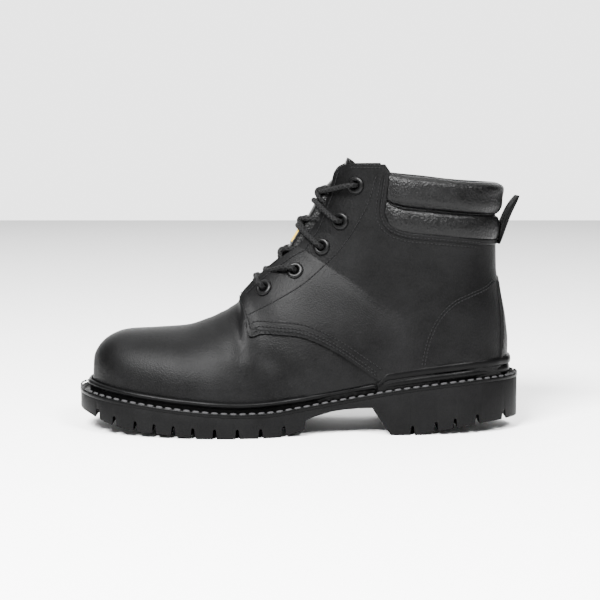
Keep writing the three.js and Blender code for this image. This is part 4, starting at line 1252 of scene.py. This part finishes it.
# %% Lace cord
def lace_mesh():
    """All the runs as one mesh. Its map runs along and round the cord, for the braid."""
    lines = [lace_bar(i) for i in range(5)] + [lace_under(i, s) for i in range(4) for s in (-1, 1)]
    pieces, total = [], 0.0
    for n, line in enumerate(lines):
        pieces.append(loops_mesh(f"lace_run_{n}", tube(line, LACE_RADIUS)))
        run = np.concatenate([[0], np.cumsum(np.linalg.norm(np.diff(line, axis=0), axis=1))])
        total += run[-1]
        uv = pieces[-1].data.uv_layers.new(name="UVMap")
        for poly in pieces[-1].data.polygons:
            for corner, vertex in zip(poly.loop_indices, poly.vertices):
                row, col = divmod(vertex, LACE_SIDES)
                last = max(v % LACE_SIDES for v in poly.vertices) == LACE_SIDES - 1
                if len(poly.vertices) == 4 and col == 0 and last:
                    col = LACE_SIDES
                uv.data[corner].uv = (run[row] * MM * 100, col / LACE_SIDES)
    only(pieces[0])
    for piece in pieces:
        piece.select_set(True)
    bpy.ops.object.join()
    lace = bpy.context.object
    lace.name = "lace_cord"
    print("lace runs:", len(lines), "of", round(total), "mm in all")
    return smooth(lace, 60)


lace_piece = lace_mesh()

# %% [markdown]
# ## Stitching
# Thread shows as short plump stitches. One is modelled as a stretched ball with few faces,
# and copies of it follow each seam.

# %% Stitches
def skin_row(xz, side, lift):
    """Points and normals on the quarter's relief along a side-view line."""
    xz = evenly(np.asarray(xz), step=0.8)
    t, h = place_at(xz[:, 0], xz[:, 1])
    t, h = t[h < 0.975], h[h < 0.975]
    return on_relief(t, h, side, lift)


def on_relief(t, h, side, lift):
    normal = last_normal(t, h, side)
    p = last_point(t, h, side)
    return p + normal * (quarter_height(p, side) + lift)[:, None], normal


def beside(line, by):
    """A side-view line moved sideways."""
    along = np.gradient(line, axis=0)
    along /= np.linalg.norm(along, axis=1)[:, None]
    return line + by * np.column_stack([-along[:, 1], along[:, 0]])


def stitch_places(points, normals, pitch):
    run = np.concatenate([[0], np.cumsum(np.linalg.norm(np.diff(points, axis=0), axis=1))])
    at = np.arange(pitch / 2, run[-1], pitch)
    p = np.stack([np.interp(at, run, points[:, k]) for k in range(3)], 1)
    n = np.stack([np.interp(at, run, normals[:, k]) for k in range(3)], 1)
    ahead = np.stack([np.interp(at + 0.3, run, points[:, k]) for k in range(3)], 1)
    behind = np.stack([np.interp(at - 0.3, run, points[:, k]) for k in range(3)], 1)
    d = ahead - behind
    d /= np.maximum(np.linalg.norm(d, axis=1), 1e-9)[:, None]
    n = n - np.sum(n * d, 1)[:, None] * d
    n /= np.linalg.norm(n, axis=1)[:, None]
    return p, d, n


def stitch_mesh(name, places, length, radius):
    """Copies one stretched ball to each place."""
    bpy.ops.mesh.primitive_uv_sphere_add(segments=8, ring_count=6, radius=1)
    ball = bpy.context.object
    base = np.array([v.co for v in ball.data.vertices])
    faces = [list(p.vertices) for p in ball.data.polygons]
    bpy.data.objects.remove(ball)
    base = np.sign(base) * np.abs(base) ** [1, 1, 0.8]
    points, all_faces, count = [], [], 0
    for p, d, n in places:
        across = np.cross(d, n)
        for k in range(len(p)):
            local = (base[:, 2:] * length / 2) * d[k] + base[:, :1] * radius * across[k]
            local = local + base[:, 1:2] * radius * 0.8 * n[k]
            points.append(p[k] + local)
            all_faces += [[v + count for v in f] for f in faces]
            count += len(base)
    piece = mesh_object(name, np.concatenate(points), all_faces)
    turn_outwards(piece)
    return smooth(piece, 80)


# %% [markdown]
# The rows follow the edges that they hold: the facing, the quarter's front and foot, the
# eyelet stay, the counter, the collar and the backstay.

# %% Stitch rows
STITCH_PITCH = 2.6
WELT_PITCH = 6.3
ROW_LIFT = 0.05
FOOT_ROWS = (2.0, 4.0, 7.6)
COUNTER_ROWS = (0, 1.9)
EYESTAY = fair_line([
    (-34.9, 79.4), (-12.6, 91.3), (3.2, 101.1), (17.8, 113.7), (31.6, 128.8), (41.5, 144.8),
    (45.9, 153.2), (49.1, 161.8), (52.9, 175.1),
], per_span=8)
COUNTER = fair_line([
    (85.4, 47.2), (87.4, 57.5), (90.7, 67.8), (96.7, 79.4), (106.1, 89), (116.2, 93.7),
    (127.7, 98.5), (133, 102.6),
], per_span=8)
COLLAR_FRONT = [(PAD_FRONT + FRONT_SLANT - 0.6, 176), (PAD_FRONT + 1.4, 165)]
COLLAR_EDGE = fair_line(np.concatenate([COLLAR_FRONT, PAD_SEAM]), per_span=8)


def facing_row(side):
    """The stitches up the facing, 2.4 mm from the throat's edge."""
    t = np.arange(10.6, 27.2, 0.05)
    h = off_ridge(t, THROAT_WIDTH / 2 + 2.4, side)
    p, n = on_relief(t, h, side, ROW_LIFT)
    keep = (p[:, 2] < SHAFT_HEIGHT - 3.5) & (p[:, 2] > 94)
    return p[keep], n[keep]


def upper_rows():
    """Every stitched line of the upper, as points and normals."""
    lift = ROW_LIFT
    corner = int(np.argmin(np.abs(QUARTER_FRONT[:, 0] + 33) + np.abs(QUARTER_FRONT[:, 1] - 67)))
    front = beside(QUARTER_EDGE, 2.0)[14:]
    front = front[front[:, 1] > 70.5]
    foot = QUARTER_FRONT[corner + 4 :]
    rows = []
    for side in (-1, 1):
        rows.append(skin_row(front, side, lift))
        for by in FOOT_ROWS:
            line = beside(foot, by)
            band = RAND_HEIGHT * np.clip((line[:, 0] - 49) / 4, 0, 1)
            rows.append(skin_row(line[line[:, 1] > welt_top(line[:, 0]) + 2 + band], side, lift))
        rows.append(skin_row(EYESTAY, side, lift))
        for by in COUNTER_ROWS:
            line = beside(COUNTER, by)
            line = line[line[:, 1] > welt_top(line[:, 0]) + RAND_HEIGHT]
            rows.append(skin_row(line, side, lift))
        rows.append(skin_row(beside(COLLAR_EDGE, -2.2)[2:-5], side, lift + 0.75))
        rows.append(skin_row(beside(COLLAR_EDGE, -5.5)[2:-5], side, lift))
        rows.append(skin_row([(36, SHAFT_HEIGHT - 2.4), (56.5, SHAFT_HEIGHT - 2.6)], side, lift))
        rows.append(facing_row(side))
    return rows


def stay_row(side):
    """The stitches 2.2 mm inside the backstay's edge."""
    foot = float(welt_top(HEEL_X)) + 0.5
    t = np.arange(18.8, 22.0, 0.02)
    z = section_curves[1](t)
    seen = (z > foot + RAND_HEIGHT) & (z < 101)
    t, z = t[seen], z[seen]
    edge = np.interp(z, [foot - 14, foot + 20, 103], [21, 20, 10]) - 2.2
    low, high = np.zeros_like(t), np.full_like(t, 0.3)
    for _ in range(26):
        h = (low + high) / 2
        far = np.abs(last_point(t, h, side)[:, 1]) > edge
        low, high = np.where(far, low, h), np.where(far, h, high)
    n = last_normal(t, low, side)
    return last_point(t, low, side) + n * (QUARTER_STEP + STAY_STEP + ROW_LIFT), n


# %% Collar binding
def collar_binding(side):
    """The narrow strip sewn round the pad's edge."""
    line = evenly(COLLAR_EDGE, step=1.6)
    across = [
        (-0.3, -0.5), (-0.3, 0.5), (0.3, 0.8), (1.2, 0.75), (1.9, 0.62), (2.6, 0.75),
        (3.2, 0.65), (3.5, 0.3), (3.5, -0.5),
    ]
    loops = []
    for u, lift in across:
        edge = beside(line, -u)
        t, h = place_at(edge[:, 0], edge[:, 1])
        loops.append(on_relief(t, h, side, lift)[0])
    piece = loops_mesh(f"collar_binding_{'outer' if side < 0 else 'inner'}", list(np.stack(loops, 1)))
    turn_outwards(piece)
    return smooth(piece, 60)


# %% Thread, and painted shade at the needle holes
def upper_stitches():
    """A stitch at each place, and half a stitch further on a small dark mark of painted shade where the
    needle hole lies.
    """
    hole_shades, threads = [], []
    for points, normals in upper_rows() + [stay_row(-1), stay_row(1)]:
        p, d, n = stitch_places(points, normals, STITCH_PITCH)
        threads.append((p + n * 0.16, d, n))
        # Each needle hole is a dark flattened ball of painted shade, sunk a hair into the leather.
        hole_shades.append((p + d * STITCH_PITCH / 2 - n * 0.02, d, n))
    return (
        stitch_mesh("upper_thread", threads, 1.6, 0.4),
        stitch_mesh("painted_hole_shades", hole_shades, 1.45, 0.55),
    )


def welt_stitches():
    line = foot_line + foot_out * (reach - 0.75)[:, None]
    outward = np.column_stack([foot_out, np.full(len(line), 1.0)]) / math.sqrt(2)
    points = np.column_stack([line, welt_top(line[:, 0]) + 0.15])
    points, outward = (np.concatenate([v, v[:1]]) for v in (points, outward))
    return stitch_mesh("welt_thread", [stitch_places(points, outward, WELT_PITCH)], 4.7, 0.85)


thread_pieces = [*upper_stitches(), welt_stitches()]
bindings = [collar_binding(-1), collar_binding(1)]
for piece in thread_pieces + bindings:
    print(piece.name, len(piece.data.polygons), "faces")

# %% [markdown]
# ## Finishes
# A little class turns Python sums into Math nodes, so that a shader reads like a formula.

# %% Shader sums
class Value:
    """A socket that takes part in sums."""

    def __init__(self, shader, socket):
        self.shader, self.socket = shader, socket

    def _sum(self, operation, other):
        return self.shader.node("ShaderNodeMath", {"operation": operation}, {0: self, 1: other})

    def __add__(self, other):
        return self._sum("ADD", other)

    def __mul__(self, other):
        return self._sum("MULTIPLY", other)

    __radd__ = __add__
    __rmul__ = __mul__


class Shader:
    """One material and the nodes in it."""

    def __init__(self, name):
        self.material = bpy.data.materials.new(name)
        self.material.use_nodes = True
        self.tree = self.material.node_tree
        self.surface = self.tree.nodes["Principled BSDF"]

    def node(self, kind, settings=None, inputs=None, output=0):
        made = self.tree.nodes.new(kind)
        for key, value in (settings or {}).items():
            if key == "ramp":
                for k, (position, colour) in enumerate(value):
                    stops = made.color_ramp.elements
                    stop = stops[k] if k < len(stops) else stops.new(position)
                    stop.position, stop.color = position, colour
            else:
                setattr(made, key, value)
        for key, value in (inputs or {}).items():
            if isinstance(value, Value):
                self.tree.links.new(value.socket, made.inputs[key])
            else:
                made.inputs[key].default_value = value
        return Value(self, made.outputs[output])

    def place(self, output="Object"):
        return self.node("ShaderNodeTexCoord", output=output)

    def noise(self, scale, detail, rough):
        inputs = {"Vector": self.place(), "Scale": scale, "Detail": detail, "Roughness": rough}
        return self.node("ShaderNodeTexNoise", {}, inputs)

    def cells(self, scale):
        inputs = {"Vector": self.place(), "Scale": scale}
        return self.node("ShaderNodeTexVoronoi", {"feature": "F1"}, inputs)

    def ramp(self, value, *stops):
        return self.node("ShaderNodeValToRGB", {"ramp": stops}, {"Fac": value})

    def bump(self, height, strength, distance):
        inputs = {"Height": height, "Strength": strength, "Distance": distance}
        return self.node("ShaderNodeBump", {}, inputs)

    def put(self, **values):
        for key, value in values.items():
            socket = self.surface.inputs[key.replace("_", " ")]
            if isinstance(value, Value):
                self.tree.links.new(value.socket, socket)
            else:
                socket.default_value = value
        return self.material


def grey(value, blue=1.03):
    return (value, value, value * blue, 1.0)


# %% [markdown]
# Black leather is nearly coal: its colour and its shine are both very low, and what shows is
# the softbox on its rounded parts. Pores and fine noise give the grain. Rubber is duller, and
# the pad's leather has a coarser grain and more shine.

# %% Finishes
def leather(name, dark, light, rough, grain, grain_scale, gloss):
    s = Shader(name)
    cloud = s.noise(26, 4, 0.6)
    pores = s.cells(grain_scale)
    fine = s.noise(grain_scale * 1.3, 3, 0.65)
    relief = pores * 0.6 + fine * 0.8
    tone = cloud * 0.55 + fine * 0.45
    return s.put(
        Base_Color=s.ramp(tone, (0.36, grey(dark)), (0.66, grey(light))),
        Roughness=cloud * 0.2 + fine * 0.22 + (rough - 0.21),
        Normal=s.bump(relief, 0.5, grain),
        Specular_IOR_Level=gloss,
    )


def rubber(name, dark, rough):
    s = Shader(name)
    dust = s.noise(60, 4, 0.6)
    fine = s.noise(900, 2, 0.5)
    return s.put(
        Base_Color=s.ramp(dust, (0.35, grey(dark)), (0.75, grey(dark * 1.6))),
        Roughness=dust * 0.15 + (rough - 0.07),
        Normal=s.bump(fine, 0.35, 0.0003),
        Specular_IOR_Level=0.045,
    )


def thread(name, tone):
    s = Shader(name)
    twist = s.noise(1500, 2, 0.5)
    return s.put(
        Base_Color=grey(tone), Roughness=0.6, Specular_IOR_Level=0.06, Normal=s.bump(twist, 0.4, 0.0002)
    )


def enamel(name):
    return Shader(name).put(Base_Color=grey(0.0012), Roughness=0.34, Specular_IOR_Level=0.09)


def woven(name, colour, scale):
    s = Shader(name)
    cells = s.cells(scale)
    return s.put(
        Base_Color=colour, Roughness=0.85, Specular_IOR_Level=0.06, Normal=s.bump(cells, 0.6, 0.0003)
    )


def braid(name, tone):
    """Two sets of slanting strands that cross round the cord, with painted shade between them and a
    painted highlight on their crests.
    """
    s = Shader(name)
    uv = s.place("UV")
    back = s.node("ShaderNodeMapping", {}, {"Vector": uv, "Scale": (1, -1, 1)})
    bands = {"wave_type": "BANDS", "bands_direction": "DIAGONAL"}
    one = s.node("ShaderNodeTexWave", bands, {"Vector": uv, "Scale": 1.885}, 1)
    two = s.node("ShaderNodeTexWave", bands, {"Vector": back, "Scale": 1.885}, 1)
    weave = s.node("ShaderNodeMath", {"operation": "MAXIMUM"}, {0: one, 1: two})
    return s.put(
        # The colour follows the bump's weave: dark in the valleys as painted shade, light on the crests
        # as painted highlight.
        Base_Color=s.ramp(weave, (0.35, grey(tone * 0.4)), (0.85, grey(tone * 1.5))),
        Roughness=0.75,
        Normal=s.bump(weave, 0.9, 0.0007),
        Specular_IOR_Level=0.08,
    )


# %% Chosen finishes
LEATHER = leather("smooth_leather", 0.0006, 0.0034, 0.44, 0.0004, 900, 0.05)
PAD_LEATHER = leather("soft_grained_leather", 0.0004, 0.0016, 0.34, 0.0009, 620, 0.1)
RUBBER = rubber("sole_rubber", 0.0016, 0.55)
WELT_RUBBER = rubber("welt_rubber", 0.001, 0.34)
THREAD = thread("black_thread", 0.005)
# Needle holes: near-black and matte, painted shade where the holes lie in shadow.
HOLE_SHADE = Shader("painted_hole_shade").put(Base_Color=grey(0.0012), Roughness=0.95, Specular_IOR_Level=0.1)
WELT_THREAD = thread("grey_thread", 0.02)
PATCH_EDGE = woven("navy_edge", grey(0.02), 1200)
PATCH_FACE = woven("ochre_weave", (0.42, 0.27, 0.03, 1), 1200)
ENAMEL = enamel("black_enamel")
STRAP = woven("black_strap", grey(0.003), 900)
LACE = braid("black_lace", 0.0022)
FELT = woven("dark_felt", grey(0.012), 700)
print("finishes:", [finish.name for finish in bpy.data.materials])

# %% [markdown]
# ## Dressing the frame
# Each piece rides on the boot's one body and takes its finish; a piece that stands for a solid
# hides that solid.

# %% Dressing
def dress(piece, finish, slot_name, *nodes):
    piece.data.materials.clear()
    piece.data.materials.append(finish)
    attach(piece, "root")
    if nodes:
        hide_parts(*nodes)


dress(sole, RUBBER, "sole_rubber", "outsole")
dress(welt_piece, WELT_RUBBER, "welt_rubber", "welt")
dress(rand_piece, WELT_RUBBER, "welt_rubber", "heel_rand")
for piece in (vamp_piece, *quarters, stay_piece):
    dress(piece, LEATHER, "leather", "upper")
dress(tongue_piece, PAD_LEATHER, "soft_leather", "tongue")
dress(pad_piece, PAD_LEATHER, "soft_leather", "collar_pad")
dress(loop_piece, STRAP, "webbing", "pull_loop")
for ring, (i, side, _, _) in zip(rings, EYELETS):
    dress(ring, ENAMEL, "enamel", f"eyelet_{'outer' if side < 0 else 'inner'}_{i + 1}")
dress(lace_piece, LACE, "lace", *[f"lace_bar_{i + 1}" for i in range(5)])
dress(thread_pieces[0], THREAD, "leather")
dress(thread_pieces[1], HOLE_SHADE, "leather")
dress(thread_pieces[2], WELT_THREAD, "welt_rubber")
for piece in bindings:
    dress(piece, LEATHER, "leather")
dress(patch_pieces[0], PATCH_EDGE, "webbing")
dress(patch_pieces[1], PATCH_FACE, "webbing")
dress(insole_piece, FELT, "insole_fabric", "insole")

# %% [markdown]
# ## Floor, light and camera
# The picture is a catalogue one: a pale floor, broad soft light from above and two softboxes
# in front that put the highlights on the toe and the vamp.

# %% Stage
bpy.ops.mesh.primitive_plane_add(size=5.4, location=(0, 0, 0))
floor = bpy.context.object
floor.name = "floor"
floor.data.materials.append(Shader("pale_floor").put(Base_Color=(0.86, 0.86, 0.86, 1), Roughness=0.9))


def softbox(name, at, aim, size, power):
    bpy.ops.object.light_add(type="AREA", location=at)
    lamp = bpy.context.object
    lamp.name = name
    lamp.data.shape = "RECTANGLE"
    lamp.data.size, lamp.data.size_y = size
    lamp.data.energy = power
    lamp.rotation_euler = (Vector(aim) - Vector(at)).to_track_quat("-Z", "Y").to_euler()


softbox("overhead", (-0.2, 0.6, 2.6), (0, 0.1, 0), (3.4, 3.4), 150)
softbox("front_left", (-0.5, -1.0, 1.15), (-0.05, 0, 0.06), (0.6, 0.5), 170)
softbox("front_right", (0.6, -0.9, 1.15), (0.04, 0, 0.1), (0.45, 0.45), 60)

# %% [markdown]
# The room is dim except for the paper behind the boot, so that the black leather keeps its
# depth while the backdrop stays pale. Y points away from the camera's side.

# %% Room
world = bpy.data.worlds.new("studio")
world.use_nodes = True
room = world.node_tree
coordinates = room.nodes.new("ShaderNodeTexCoord")
split = room.nodes.new("ShaderNodeSeparateXYZ")
level = room.nodes.new("ShaderNodeValToRGB")
for stop, (position, brightness) in zip(level.color_ramp.elements, ((0.6, 0.22), (0.95, 3.2))):
    stop.position = position
    stop.color = (brightness, brightness, brightness, 1)
room.links.new(coordinates.outputs["Generated"], split.inputs["Vector"])
room.links.new(split.outputs["Y"], level.inputs["Fac"])
room.links.new(level.outputs["Color"], room.nodes["Background"].inputs["Color"])
room.nodes["Background"].inputs["Strength"].default_value = 1.0
bpy.context.scene.world = world

# %% [markdown]
# The camera stands on the boot's outer side, a little above it, with a long lens that keeps
# the sole's lines almost level.

# %% Camera
CAMERA_AT = Vector((0.001, -1.05, 0.2))
AIM_AT = Vector((0.001, 0.0, 0.0883))
camera_data = bpy.data.cameras.new("photo_camera")
camera_data.sensor_width = 36
camera_data.lens = 90.63
camera_data.dof.use_dof = False
camera = bpy.data.objects.new("photo_camera", camera_data)
bpy.context.scene.collection.objects.link(camera)
camera.location = CAMERA_AT
camera.rotation_euler = (AIM_AT - CAMERA_AT).to_track_quat("-Z", "Y").to_euler()
bpy.context.scene.camera = camera
print("camera:", [round(v, 3) for v in CAMERA_AT], "lens", camera_data.lens)
